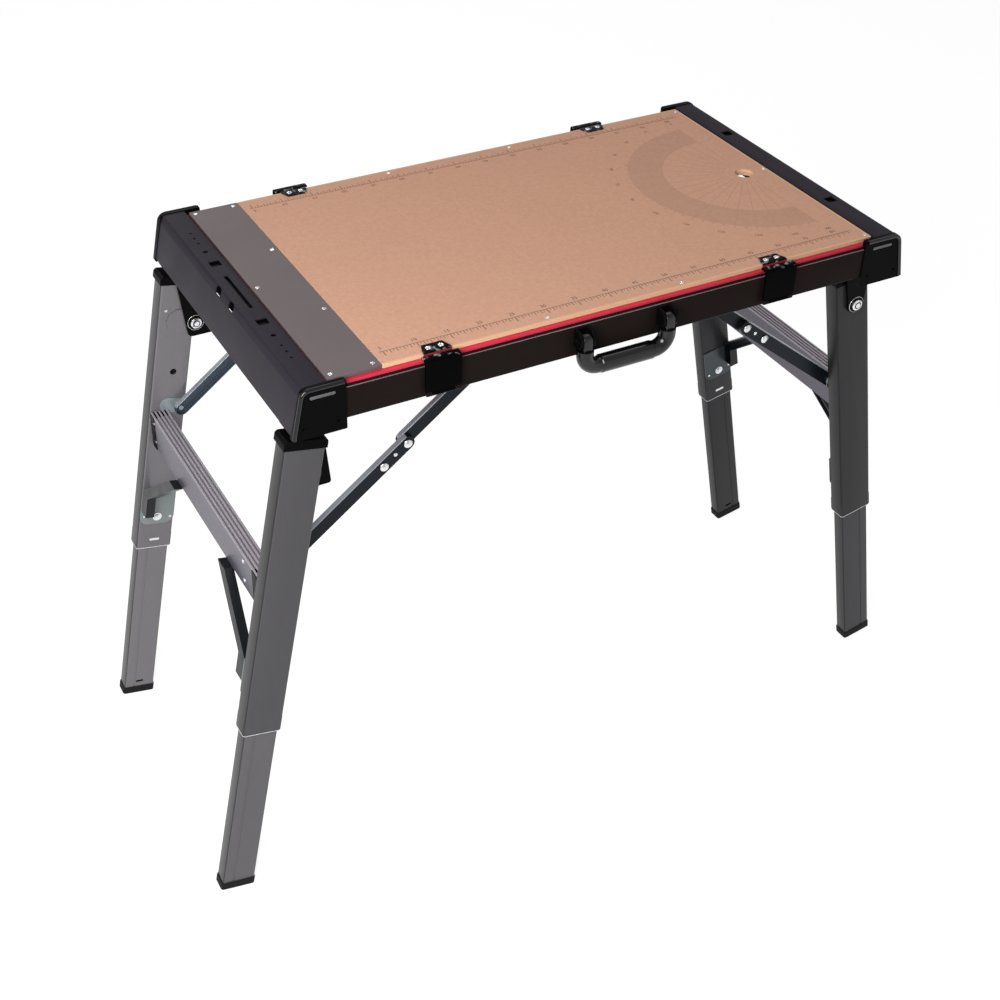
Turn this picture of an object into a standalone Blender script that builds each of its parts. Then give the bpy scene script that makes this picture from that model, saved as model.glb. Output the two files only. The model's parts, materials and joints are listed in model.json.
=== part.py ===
"""Folding work table: a board deck on two splayed leg frames with telescoping legs.

Run with: blender --background --python part.py
Units are metres, +Z is up and the floor is z = 0. X runs along the table, and the front is -Y.
"""
import math

import bmesh
import bpy
from mathutils import Matrix, Vector

# Clearances
GAP = 0.0003
PIN_CLEARANCE = 0.0004
SLIDE_CLEARANCE = 0.0005

# Overall sizes
TABLE_LENGTH = 1.000
TABLE_HEIGHT = 0.900
FOOT_REACH = 0.1007
SPLAY_LEFT = math.radians(10.7)
SPLAY_RIGHT = math.radians(11.9)

# Worktop: fibreboard, steel plate at the left end, red panel under both
BOARD_HALF_WIDTH = 0.262
END_MARGIN = 0.057
BOARD_THICKNESS = 0.006
PLATE_WIDTH = 0.0785
PANEL_THICKNESS = 0.0044
PANEL_MARGIN = 0.006
PEG_HOLE_INSET = 0.043
PEG_HOLE_RADIUS = 0.015

# Side rails, pressed as channels that open inward
RAIL_HALF_SPACING = 0.2738
RAIL_DEPTH = 0.049
RAIL_FLANGE = 0.0108
RAIL_SHEET = 0.0015

# End caps, folded from sheet
CAP_SHEET = 0.002
CAP_RISE = 0.001
CAP_DEPTH = 0.070
CAP_FLANGE = 0.0345
CAP_SHOULDER = 0.012
CAP_LEAN = 0.013
CAP_INNER_FLANGE = 0.040
CAP_HEM = 0.006
CAP_HALF_WIDTH = 0.2679
CAP_HOLE_LINE = 0.0175
CAP_SQUARE = 0.0165
CAP_SQUARE_Y = 0.0911
CAP_RIGHT_SQUARE_Y = 0.1375
CAP_ROUND_Y = 0.1306
CAP_ROUND_RADIUS = 0.0040
CAP_SMALL_Y = 0.1596
CAP_SMALL_PITCH = 0.0172
CAP_SMALL_RADIUS = 0.0026
CAP_SLOT_LENGTH = 0.102
CAP_SLOT_WIDTH = 0.006
CAP_HEXAGON_Y = 0.0245
CAP_HEXAGON_LENGTH = 0.020
CAP_HEXAGON_WIDTH = 0.012
CAP_HEXAGON_OUT = 0.005
CAP_HEXAGON_SHOULDER = 0.68
CAP_HEXAGON_TILT = math.radians(52)

# Corner blocks, moulded
BLOCK_LENGTH = 0.0795
BLOCK_THICKNESS = 0.008
BLOCK_DEPTH = 0.074
BLOCK_RISE = 0.002
BLOCK_CORNER = 0.010
BLOCK_LEAN = 0.017
BLOCK_PLUG = 0.0112
BLOCK_PLUG_INSET = 0.0295
BLOCK_BAR_X = 0.034
BLOCK_BAR_DROP = 0.014
BLOCK_BAR_HALF_LENGTH = 0.019
BLOCK_BAR_HALF_HEIGHT = 0.003
BLOCK_SOCKETS = (0.012, 0.062)
BLOCK_SOCKET_DROP = 0.058
BLOCK_SOCKET_RADIUS = 0.0022

# Cross members under the panel
CROSS_WIDTH = 0.036
CROSS_DEPTH = 0.022
CROSS_FLANGE = 0.012
CROSS_SHEET = 0.0015
CROSS_INSET = 0.263
CROSS_END_GAP = 0.0015

# Leg tubes; the left legs stand outside the right ones
LEG_WIDTH = 0.060
LEG_THICKNESS = 0.0315
LEG_WALL = 0.0015
LEG_CORNER = 0.004
LEG_INNER_FACE_LEFT = 0.2297
LEG_INNER_FACE_RIGHT = 0.1892
LEG_TOP_DROP = 0.0882
BUSH_WALL = 0.0015
BUSH_HEIGHT = 0.026
LOWER_WALL = 0.0015
LOWER_SHOWN = 0.317
LOWER_OVERLAP = 0.120
LOCK_RISE = 0.0165
LOCK_HALF_LENGTH = 0.0095
LOCK_HALF_HEIGHT = 0.0027
PORT_DROP = 0.2505
PORT_OFFSET = 0.004
PORT_RADIUS = 0.0055
GROOVE_OFFSET = 0.0095
GROOVE_HALF_WIDTH = 0.0018
GROOVE_DEPTH = 0.0007
TOE_SLOT_RISE = 0.024
TOE_SLOT_HALF_LENGTH = 0.007
TOE_SLOT_HALF_HEIGHT = 0.0022
TOP_CAP_WALL = 0.0017
TOP_CAP_SKIRT = 0.012
TOP_CAP_CROWN = 0.003
FOOT_HEIGHT = 0.013
FOOT_BASE = 0.003
FOOT_WALL = 0.0012

# Leg hinges: one pivot per leg, lower and further inboard on the left frame
PIVOT_DROP_LEFT = 0.168
PIVOT_DROP_RIGHT = 0.141
PIVOT_INBOARD_LEFT = 0.030
PIVOT_INBOARD_RIGHT = 0.0
EAR_INNER_FACE = 0.2232
EAR_THICKNESS = 0.004
EAR_RADIUS = 0.0155
EAR_OUT_TOP = 0.026
EAR_OUT_MIDDLE = 0.0345
EAR_OUT_LOW = 0.0395
EAR_FOOT_OUT = 0.013
EAR_FOOT_IN = 0.032
EAR_FOOT_DROP = 0.192
EAR_WAIST = 0.0088
EAR_WAIST_DROP = 0.078
EAR_BEND_DROP = 0.066
EAR_TAB = 0.024
BOLT_RADIUS = 0.005
BOLT_HEAD_RADIUS = 0.009
BOLT_HEAD_HEIGHT = 0.005
WASHER_RADIUS = 0.013
WASHER_THICKNESS = 0.0014
NUT_RADIUS = 0.008
NUT_HEIGHT = 0.004
STOP_SHEET = 0.003
LUG_STAND_OFF = 0.0025
LUG_LENGTH = 0.024
LUG_RADIUS = 0.017
LUG_END_RADIUS = 0.022

# Rungs, level with the deck, and their braces
RUNG_TOP_DROP = 0.315
RUNG_WIDTH = 0.0275
RUNG_HEIGHT = 0.0605
RUNG_OUTBOARD = 0.0095
RUNG_WALL = 0.002
RUNG_GROOVES = 4
RUNG_GROOVE_DEPTH = 0.0014
BRACE_SHEET = 0.002
BRACE_WIDTH = 0.058
BRACE_TOP_DROP = 0.470
BRACE_BOTTOM_DROP = 0.534
BRACE_BAR_WIDTH = 0.015
BRACE_BAR_LOW = 0.505
BRACE_BAR_KNEE = 0.469
BRACE_BAR_HIGH = 0.466
BRACE_BAR_FOOT = 0.024
BRACE_BAR_TOP = 0.027
BRACE_REACH = 0.134

# Folding stays, each of two links
STAY_DECK_DROP = 0.070
STAY_LEG_INBOARD = 0.019
STAY_LEG_DROP = 0.3135
STAY_LOWER_LENGTH = 0.240
STAY_STAND_OFF = 0.0085
STAY_BOSS_RADIUS = 0.0075
LINK_RADIUS = 0.011
LINK_DEPTH = 0.0085
LINK_SHEET = 0.0015
LINK_PIN = 0.004
RIVET_RADIUS = 0.006
RIVET_HEIGHT = 0.0016
RIVET_SPACING = 0.047
STAY_BRACKET_SHEET = 0.0016
STAY_BRACKET_RADIUS = 0.012
STAY_BRACKET_ROOT_RADIUS = 0.014
STAY_EAR_ROOT_RADIUS = 0.0150
STAY_EAR_SHEET = 0.002
LINK_PIN_PROUD = 0.002

# Carry handle on the front rail
HANDLE_HALF_SPAN = 0.0675
HANDLE_DROP = 0.0285
HANDLE_STAND_OFF = 0.0112
HANDLE_FALL = 0.0505
HANDLE_TUBE = 0.010
HANDLE_TUBE_OUT = 0.002
HANDLE_ARM_LOW = 0.020
HANDLE_ARM_RADIUS = 0.0095
HANDLE_BEND = 0.018
HANDLE_ARM = 0.014
HANDLE_EYE = 0.0085
HANDLE_PIN = 0.003
MOUNT_CHEEK = 0.0048
MOUNT_BACK = 0.002
MOUNT_REACH = 0.0205
MOUNT_HEIGHT = 0.0275

# Board clips, each set in from the worktop's end
CLIP_INSET_FRONT_LEFT = 0.159
CLIP_INSET_FRONT_RIGHT = 0.1785
CLIP_INSET_BACK = 0.172
CLIP_WIDTH = 0.054
CLIP_FOOT_DROP = 0.0480
CLIP_SHEET = 0.003
CLIP_STAND_OFF = 0.0062
CLIP_PIVOT_DROP = 0.0525
CLIP_LIP = 0.0115
CLIP_BARREL = 0.0035
CLIP_PIN = 0.0016
CLIP_TONGUE = 0.034
CLIP_KNUCKLE = 0.008
KEEPER_WIDTH = 0.042
KEEPER_TAPER = 0.006
KEEPER_SHEET = 0.0015
KEEPER_REACH = 0.0195

LEFT, RIGHT = -1, 1
FRONT, BACK = -1, 1
SIDES = {LEFT: "left", RIGHT: "right"}
ROWS = {FRONT: "front", BACK: "back"}

# Sizes that follow from the ones above
SPLAY = {LEFT: SPLAY_LEFT, RIGHT: SPLAY_RIGHT}
LEG_INNER_FACE = {LEFT: LEG_INNER_FACE_LEFT, RIGHT: LEG_INNER_FACE_RIGHT}
PIVOT_DROP = {LEFT: PIVOT_DROP_LEFT, RIGHT: PIVOT_DROP_RIGHT}
PIVOT_INBOARD = {LEFT: PIVOT_INBOARD_LEFT, RIGHT: PIVOT_INBOARD_RIGHT}
BOARD_HALF_LENGTH = TABLE_LENGTH / 2 - END_MARGIN
PEG_HOLE_X = BOARD_HALF_LENGTH - PEG_HOLE_INSET
CROSS_X = BOARD_HALF_LENGTH - CROSS_INSET
CLIP_X = {
    (FRONT, LEFT): BOARD_HALF_LENGTH - CLIP_INSET_FRONT_LEFT,
    (FRONT, RIGHT): BOARD_HALF_LENGTH - CLIP_INSET_FRONT_RIGHT,
    (BACK, LEFT): BOARD_HALF_LENGTH - CLIP_INSET_BACK,
    (BACK, RIGHT): BOARD_HALF_LENGTH - CLIP_INSET_BACK,
}
PANEL_TOP = BOARD_THICKNESS + GAP
PANEL_BOTTOM = PANEL_TOP + PANEL_THICKNESS
RAIL_TOP = PANEL_BOTTOM + GAP
RAIL_BOTTOM = RAIL_TOP + RAIL_DEPTH
PLATE_EDGE = -BOARD_HALF_LENGTH + PLATE_WIDTH
PANEL_HALF_LENGTH = BOARD_HALF_LENGTH + 0.003
PANEL_HALF_WIDTH = BOARD_HALF_WIDTH + PANEL_MARGIN
CAP_INNER_X = PANEL_HALF_LENGTH + GAP
BLOCK_INNER_X = TABLE_LENGTH / 2 + BLOCK_RISE - BLOCK_LENGTH
RAIL_HALF_LENGTH = BLOCK_INNER_X - GAP
LOWER_WIDTH = LEG_WIDTH - 2 * (LEG_WALL + BUSH_WALL + SLIDE_CLEARANCE)
LOWER_THICKNESS = LEG_THICKNESS - 2 * (LEG_WALL + BUSH_WALL + SLIDE_CLEARANCE)
FOOT_HALF_WIDTH = LOWER_WIDTH / 2 + GAP + FOOT_WALL
FOOT_HALF_THICKNESS = LOWER_THICKNESS / 2 + GAP + FOOT_WALL
STANCE = TABLE_LENGTH / 2 + FOOT_REACH
FOOT_CENTRE_X = {side: STANCE + FOOT_HALF_WIDTH * math.cos(SPLAY[side]) for side in SIDES}
FOOT_CENTRE_DROP = {side: TABLE_HEIGHT - FOOT_HALF_WIDTH * math.sin(SPLAY[side]) for side in SIDES}
RUNG_BOTTOM_DROP = RUNG_TOP_DROP + RUNG_HEIGHT
HANDLE_Y = -(RAIL_HALF_SPACING + HANDLE_STAND_OFF)
HANDLE_FRONT = HANDLE_Y - HANDLE_TUBE_OUT - HANDLE_TUBE
CLIP_Y = RAIL_HALF_SPACING + CLIP_STAND_OFF
CLIP_BACK = CLIP_Y + CLIP_BARREL
CENTRE_Y = -(HANDLE_FRONT + CLIP_BACK) / 2


def clear_scene():
    """Remove every object of the open file."""
    for old in list(bpy.data.objects):
        bpy.data.objects.remove(old, do_unlink=True)


def new_collection(name):
    """Make a collection under the scene's root collection."""
    made = bpy.data.collections.new(name)
    bpy.context.scene.collection.children.link(made)
    return made


def finish(name, colour, roughness, metallic=0.0):
    """Make a Principled BSDF material of one colour."""
    made = bpy.data.materials.new(name)
    made.use_nodes = True
    shader = made.node_tree.nodes["Principled BSDF"]
    shader.inputs["Base Color"].default_value = (*colour, 1.0)
    shader.inputs["Roughness"].default_value = roughness
    shader.inputs["Metallic"].default_value = metallic
    return made


clear_scene()
TABLE = new_collection("folding_work_table")
CUTTERS = new_collection("cutters")

FIBREBOARD = ("fibreboard", (0.60, 0.37, 0.22), 0.7, 0.0)
STEEL_PLATE = ("steel_plate", (0.19, 0.16, 0.165), 0.45, 0.6)
RED_PAINT = ("red_paint", (0.50, 0.03, 0.05), 0.45, 0.0)
BRONZE_PAINT = ("bronze_paint", (0.030, 0.022, 0.020), 0.4, 0.3)
HAMMERED_PAINT = ("hammered_paint", (0.075, 0.065, 0.085), 0.45, 0.4)
BLACK_PLASTIC = ("black_plastic", (0.012, 0.012, 0.013), 0.45, 0.0)
BLACK_STEEL = ("black_steel", (0.015, 0.015, 0.016), 0.35, 0.5)
GREY_PAINT = ("grey_paint", (0.145, 0.140, 0.145), 0.4, 0.5)
ZINC = ("zinc_plate", (0.42, 0.46, 0.48), 0.35, 0.9)
ALUMINIUM = ("ribbed_aluminium", (0.50, 0.48, 0.50), 0.4, 0.9)
RUBBER = ("black_rubber", (0.010, 0.010, 0.010), 0.8, 0.0)


def empty(name, parent=None, location=(0, 0, 0), turn=0.0):
    """Make an empty, turned about its own Y axis."""
    made = bpy.data.objects.new(name, None)
    TABLE.objects.link(made)
    made.parent = parent
    made.location = location
    made.rotation_euler = (0.0, turn, 0.0)
    return made


def place(mesh, name, parent, location=(0, 0, 0), turn=0.0, look=None):
    """Put a mesh in the scene: a piece when it has a look, else a cutter."""
    made = bpy.data.objects.new(name, mesh)
    if look is None:
        CUTTERS.objects.link(made)
        made.hide_render = True
        made.display_type = "WIRE"
    else:
        TABLE.objects.link(made)
        mesh.materials.append(finish(name, *look[1:]))
    made.parent = parent
    made.location = location
    made.rotation_euler = (0.0, turn, 0.0)
    return made


def arc(centre, radius, start, end, steps):
    """Points along an arc, angles in degrees."""
    points = []
    for step in range(steps + 1):
        angle = math.radians(start + (end - start) * step / steps)
        points.append((centre[0] + radius * math.cos(angle), centre[1] + radius * math.sin(angle)))
    return points


def circle(centre, radius, steps=16):
    """A closed round outline, flat side down."""
    half_step = 180 / steps
    return arc(centre, radius, half_step, 360 + half_step, steps)[:-1]


def box_outline(half_x, half_y, centre=(0.0, 0.0)):
    """A closed rectangular outline."""
    x, y = centre
    return [(x - half_x, y - half_y), (x + half_x, y - half_y),
            (x + half_x, y + half_y), (x - half_x, y + half_y)]


def fillet(points, radii, steps=3, closed=True):
    """Round the corners of an outline; radii is one number or one for each point."""
    count = len(points)
    if not hasattr(radii, "__len__"):
        radii = [radii] * count
    rounded = []
    for index, point in enumerate(points):
        at_end = not closed and index in (0, count - 1)
        if at_end or radii[index] <= 0:
            rounded.append(point)
            continue
        here = Vector(point)
        before = (Vector(points[index - 1]) - here).normalized()
        after = (Vector(points[(index + 1) % count]) - here).normalized()
        half_angle = before.angle(after) / 2
        reach = radii[index] / math.tan(half_angle)
        centre = here + (before + after).normalized() * radii[index] / math.sin(half_angle)
        first = here + before * reach - centre
        last = here + after * reach - centre
        sweep = first.angle_signed(last)
        for step in range(steps + 1):
            angle = -sweep * step / steps
            turned = Matrix.Rotation(angle, 2) @ first
            rounded.append(tuple(centre + turned))
    return rounded


def sheet(path, thickness):
    """Outline of a bent sheet: a path of its middle line, thickened to both sides."""
    points = [Vector(point) for point in path]
    outer, inner = [], []
    for index, point in enumerate(points):
        before = (point - points[index - 1]).normalized() if index else None
        after = (points[index + 1] - point).normalized() if index < len(points) - 1 else None
        if before is None or after is None:
            along = before or after
            normal = Vector((-along.y, along.x))
            reach = thickness / 2
        else:
            normal = (Vector((-before.y, before.x)) + Vector((-after.y, after.x))).normalized()
            reach = thickness / 2 / normal.dot(Vector((-after.y, after.x)))
        outer.append(tuple(point + normal * reach))
        inner.append(tuple(point - normal * reach))
    return outer + inner[::-1]


def hull_of_circles(first, first_radius, second, second_radius, steps=8):
    """Outline of a belt round two circles."""
    along = Vector(second) - Vector(first)
    heading = math.degrees(math.atan2(along.y, along.x))
    lean = math.degrees(math.acos((first_radius - second_radius) / along.length))
    outline = arc(second, second_radius, heading - lean, heading + lean, steps)
    outline += arc(first, first_radius, heading + lean, heading + 360 - lean, steps)
    return outline


AXES = {
    "X": Matrix(((0, 0, 1, 0), (1, 0, 0, 0), (0, 1, 0, 0), (0, 0, 0, 1))),
    "Y": Matrix(((1, 0, 0, 0), (0, 0, -1, 0), (0, 1, 0, 0), (0, 0, 0, 1))),
    "Z": Matrix.Identity(4),
}


def prism_mesh(loops, half, axis, centre=0.0):
    """Extrude outlines along an axis: outlines are (y, z), (x, z) or (x, y) for X, Y or Z."""
    curve = bpy.data.curves.new("outline", "CURVE")
    curve.dimensions = "2D"
    curve.fill_mode = "BOTH"
    curve.extrude = half
    for loop in loops:
        spline = curve.splines.new("POLY")
        spline.points.add(len(loop) - 1)
        for point, (x, y) in zip(spline.points, loop):
            point.co = (x, y, 0.0, 1.0)
        spline.use_cyclic_u = True
    holder = bpy.data.objects.new("outline", curve)
    bpy.context.scene.collection.objects.link(holder)
    depsgraph = bpy.context.evaluated_depsgraph_get()
    mesh = bpy.data.meshes.new_from_object(holder.evaluated_get(depsgraph))
    bpy.data.objects.remove(holder)
    bpy.data.curves.remove(curve)
    return tidy_mesh(mesh, move_along(axis, centre) @ AXES[axis])


def move_along(axis, distance):
    """Translation along one axis."""
    return Matrix.Translation([distance if name == axis else 0.0 for name in "XYZ"])


def tidy_mesh(mesh, matrix):
    """Weld a mesh's caps, move it and turn its faces outward."""
    work = bmesh.new()
    work.from_mesh(mesh)
    bmesh.ops.remove_doubles(work, verts=work.verts, dist=0.000005)
    bmesh.ops.transform(work, matrix=matrix, verts=work.verts)
    bmesh.ops.recalc_face_normals(work, faces=work.faces)
    work.to_mesh(mesh)
    work.free()
    mesh.materials.clear()
    return mesh


def tube_mesh(points, radius, steps=2):
    """Sweep a round section along a path."""
    curve = bpy.data.curves.new("path", "CURVE")
    curve.dimensions = "3D"
    curve.bevel_depth = radius
    curve.bevel_resolution = steps
    curve.use_fill_caps = True
    spline = curve.splines.new("POLY")
    spline.points.add(len(points) - 1)
    for point, place_at in zip(spline.points, points):
        point.co = (*place_at, 1.0)
    holder = bpy.data.objects.new("path", curve)
    bpy.context.scene.collection.objects.link(holder)
    depsgraph = bpy.context.evaluated_depsgraph_get()
    mesh = bpy.data.meshes.new_from_object(holder.evaluated_get(depsgraph))
    bpy.data.objects.remove(holder)
    bpy.data.curves.remove(curve)
    return tidy_mesh(mesh, Matrix.Identity(4))


def turned_mesh(profile, toward, steps=16):
    """Turn a profile of (radius, height) points, top first, about Z; its top then faces -Y or +Y."""
    outline = bpy.data.meshes.new("profile")
    corners = [(radius, 0.0, height) for radius, height in profile]
    outline.from_pydata(corners, [(i, i + 1) for i in range(len(corners) - 1)], [])
    holder = bpy.data.objects.new("profile", outline)
    bpy.context.scene.collection.objects.link(holder)
    screw = holder.modifiers.new("turn", "SCREW")
    screw.steps = steps
    screw.render_steps = steps
    screw.use_merge_vertices = True
    screw.merge_threshold = 0.00001
    depsgraph = bpy.context.evaluated_depsgraph_get()
    mesh = bpy.data.meshes.new_from_object(holder.evaluated_get(depsgraph))
    bpy.data.objects.remove(holder)
    return tidy_mesh(mesh, Matrix.Rotation(-toward * math.pi / 2, 4, "X"))


def combine(target, operation, loops, half, axis, centre=0.0, location=None, turn=None):
    """Cut a prism from a piece, or unite it with the piece."""
    mesh = prism_mesh(loops, half, axis, centre)
    return combine_mesh(target, operation, mesh, location, turn)


def combine_mesh(target, operation, mesh, location=None, turn=None):
    """Cut a closed mesh from a piece, or unite it with the piece."""
    where = target.location if location is None else location
    angle = target.rotation_euler.y if turn is None else turn
    tool = place(mesh, f"{target.name}.tool", target.parent, where, angle)
    modifier = target.modifiers.new(operation.lower(), "BOOLEAN")
    modifier.operation = operation
    modifier.solver = "EXACT"
    modifier.object = tool
    return tool


def shade(target, angle=35):
    """Shade a piece smooth, with its sharp edges kept."""
    target.data.shade_smooth()
    target.data.set_sharp_from_angle(angle=math.radians(angle))


# Frames of reference. The deck's origin is the middle of the work surface.

DECK = empty("deck", None, (0.0, CENTRE_Y, TABLE_HEIGHT))


def leg_z(side, drop):
    """Height along a leg's own axis, from its pivot, of the point that far below the worktop."""
    lean = PIVOT_INBOARD[side] * math.sin(SPLAY[side])
    return (PIVOT_DROP[side] - drop - lean) / math.cos(SPLAY[side])


def leg_x(side, drop):
    """Distance of a leg's middle line from the table's middle, that far below the worktop."""
    return FOOT_CENTRE_X[side] - (FOOT_CENTRE_DROP[side] - drop) * math.tan(SPLAY[side])


def pivot_x(side):
    """Distance of a leg frame's pivot from the table's middle."""
    reach = FOOT_CENTRE_X[side] - PIVOT_INBOARD[side] * math.cos(SPLAY[side])
    return reach + leg_z(side, FOOT_CENTRE_DROP[side]) * math.sin(SPLAY[side])


FRAMES = {}
for SIDE in SIDES:
    FRAMES[SIDE] = empty(f"leg_frame_{SIDES[SIDE]}", DECK,
                         (SIDE * pivot_x(SIDE), 0.0, -PIVOT_DROP[SIDE]), -SIDE * SPLAY[SIDE])


def frame_point(side, x, drop):
    """A deck point (outboard distance, drop below the worktop) in its leg frame's own axes."""
    turn = Matrix.Rotation(-side * SPLAY[side], 4, "Y")
    there = Matrix.Translation((side * pivot_x(side), 0.0, -PIVOT_DROP[side])) @ turn
    return there.inverted() @ Vector((side * x, 0.0, -drop))


def leg_middle(side):
    """Distance of a leg's middle from the table's middle plane, along Y."""
    return LEG_INNER_FACE[side] + LEG_THICKNESS / 2


# Worktop

def build_worktop():
    """Fibreboard, steel end plate and red panel."""
    edge = PLATE_EDGE + GAP
    half = (BOARD_HALF_LENGTH - edge) / 2
    middle = (BOARD_HALF_LENGTH + edge) / 2
    loops = [fillet(box_outline(half, BOARD_HALF_WIDTH), 0.002, 2),
             circle((PEG_HOLE_X - middle, 0.0), PEG_HOLE_RADIUS, 24)]
    place(prism_mesh(loops, BOARD_THICKNESS / 2, "Z"), "worktop_board", DECK,
          (middle, 0, -BOARD_THICKNESS / 2), look=FIBREBOARD)

    loops = [fillet(box_outline(PLATE_WIDTH / 2, BOARD_HALF_WIDTH), 0.002, 2)]
    place(prism_mesh(loops, BOARD_THICKNESS / 2, "Z"), "steel_end_plate", DECK,
          (PLATE_EDGE - PLATE_WIDTH / 2, 0, -BOARD_THICKNESS / 2), look=STEEL_PLATE)

    loops = [fillet(box_outline(PANEL_HALF_LENGTH, PANEL_HALF_WIDTH), 0.003, 2),
             circle((PEG_HOLE_X, 0.0), PEG_HOLE_RADIUS, 24)]
    place(prism_mesh(loops, PANEL_THICKNESS / 2, "Z"), "red_deck_panel", DECK,
          (0, 0, -PANEL_TOP - PANEL_THICKNESS / 2), look=RED_PAINT)


# Deck frame

def build_rails():
    """Two pressed channels, open inward."""
    inner = RAIL_HALF_SPACING - RAIL_FLANGE
    outer = RAIL_HALF_SPACING - RAIL_SHEET / 2
    top = -RAIL_TOP - RAIL_SHEET / 2
    bottom = -RAIL_BOTTOM + RAIL_SHEET / 2
    for row, label in ROWS.items():
        path = [(row * inner, top), (row * outer, top), (row * outer, bottom), (row * inner, bottom)]
        outline = sheet(fillet(path, 0.002, 3, closed=False), RAIL_SHEET)
        rail = place(prism_mesh([outline], RAIL_HALF_LENGTH, "X"), f"rail_{label}", DECK,
                     look=BRONZE_PAINT)
        for side in SIDES:
            add_clip_hinge(rail, side * CLIP_X[row, side], row)


def build_end_caps():
    """Folded sheet caps: inner flange, top flange with tool holes, leaning face and hem."""
    half = CAP_SHEET / 2
    top = CAP_RISE - half
    inner = CAP_INNER_X + half
    fold = CAP_INNER_X + CAP_FLANGE
    outer = TABLE_LENGTH / 2 - half
    for side, label in SIDES.items():
        path = [(inner, -CAP_INNER_FLANGE), (inner, top), (fold, top),
                (outer - CAP_LEAN, -CAP_SHOULDER), (outer, -CAP_DEPTH + half),
                (outer - CAP_HEM, -CAP_DEPTH + half)]
        bent = fillet(path, [0, 0.0015, 0.004, 0.012, 0.0012, 0], 3, closed=False)
        outline = [(side * x, z) for x, z in sheet(bent, CAP_SHEET)]
        cap = place(prism_mesh([outline], CAP_HALF_WIDTH, "Y"), f"end_cap_{label}", DECK,
                    look=HAMMERED_PAINT)
        holes = tool_holes(side)
        combine(cap, "DIFFERENCE", holes, 3 * CAP_SHEET, "Z")
        if side == LEFT:
            across, along = CAP_HEXAGON_WIDTH / 2, CAP_HEXAGON_LENGTH / 2
            shoulder = along * CAP_HEXAGON_SHOULDER
            hexagon = [(-across, -shoulder), (0.0, -along), (across, -shoulder),
                       (across, shoulder), (0.0, along), (-across, shoulder)]
            for row in ROWS:
                where = (-fold - CAP_HEXAGON_OUT, row * CAP_HEXAGON_Y, -CAP_HEXAGON_OUT * 0.8)
                combine(cap, "DIFFERENCE", [hexagon], 6 * CAP_SHEET, "Z", location=where,
                        turn=-CAP_HEXAGON_TILT)


def tool_holes(side):
    """Outlines of the holes in an end cap's top flange."""
    x = side * (CAP_INNER_X + CAP_HOLE_LINE)
    square = CAP_SQUARE / 2
    if side == RIGHT:
        return [box_outline(square, square, (x, row * CAP_RIGHT_SQUARE_Y)) for row in ROWS]
    holes = [fillet(box_outline(CAP_SLOT_WIDTH / 2, CAP_SLOT_LENGTH / 2, (x, 0.0)),
                    CAP_SLOT_WIDTH * 0.45, 3)]
    for row in ROWS:
        holes.append(box_outline(square, square, (x, row * CAP_SQUARE_Y)))
        holes.append(circle((x, row * CAP_ROUND_Y), CAP_ROUND_RADIUS, 12))
        for step in range(3):
            y = row * (CAP_SMALL_Y + CAP_SMALL_PITCH * step)
            holes.append(circle((x, y), CAP_SMALL_RADIUS, 8))
    return holes


def build_corner_blocks():
    """Moulded blocks that close the end caps and the rails' ends."""
    face_y = CAP_HALF_WIDTH + GAP + BLOCK_THICKNESS / 2
    outer = TABLE_LENGTH / 2 + BLOCK_RISE
    for side, end in SIDES.items():
        for row, label in ROWS.items():
            corners = [(BLOCK_INNER_X, -BLOCK_DEPTH), (outer, -BLOCK_DEPTH),
                       (outer - BLOCK_LEAN, BLOCK_RISE), (BLOCK_INNER_X, BLOCK_RISE)]
            outline = fillet(corners, [0.0015, 0.003, BLOCK_CORNER, 0.0015], 4)
            outline = [(side * x, z) for x, z in outline]
            mesh = prism_mesh([outline], BLOCK_THICKNESS / 2, "Y")
            block = place(mesh, f"corner_block_{label}_{end}", DECK, (0, row * face_y, 0),
                          look=BLACK_PLASTIC)
            inset = BLOCK_INNER_X + BLOCK_PLUG_INSET
            plug = [(inset, -CAP_DEPTH + 0.006), (outer - 0.0080, -CAP_DEPTH + 0.006),
                    (outer - 0.0190, -CAP_SHOULDER), (outer - 0.0245, -0.006), (inset, -0.006)]
            plug = [(side * x, z) for x, z in plug]
            reach = (BLOCK_PLUG + BLOCK_THICKNESS / 2) / 2
            combine(block, "UNION", [plug], reach, "Y", -row * reach)
            bar_at = (side * (BLOCK_INNER_X + BLOCK_BAR_X), -BLOCK_BAR_DROP)
            bar = box_outline(BLOCK_BAR_HALF_LENGTH, BLOCK_BAR_HALF_HEIGHT, bar_at)
            slot = fillet(bar, BLOCK_BAR_HALF_HEIGHT * 5 / 6, 2)
            combine(block, "DIFFERENCE", [slot], 0.002, "Y", row * BLOCK_THICKNESS / 2)
            sockets = [circle((side * (BLOCK_INNER_X + along), -BLOCK_SOCKET_DROP),
                              BLOCK_SOCKET_RADIUS, 8) for along in BLOCK_SOCKETS]
            combine(block, "DIFFERENCE", sockets, 0.003, "Y", row * BLOCK_THICKNESS / 2)


def stay_planes(side):
    """Faces of the stay's layers, from the leg inward: bracket boss, lower link, upper link, ear."""
    bracket = LEG_INNER_FACE[side] - STAY_STAND_OFF
    lower = bracket - GAP - LINK_DEPTH
    upper = lower - GAP - LINK_DEPTH
    ear = upper - GAP - STAY_EAR_SHEET
    return bracket, lower, upper, ear


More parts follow.
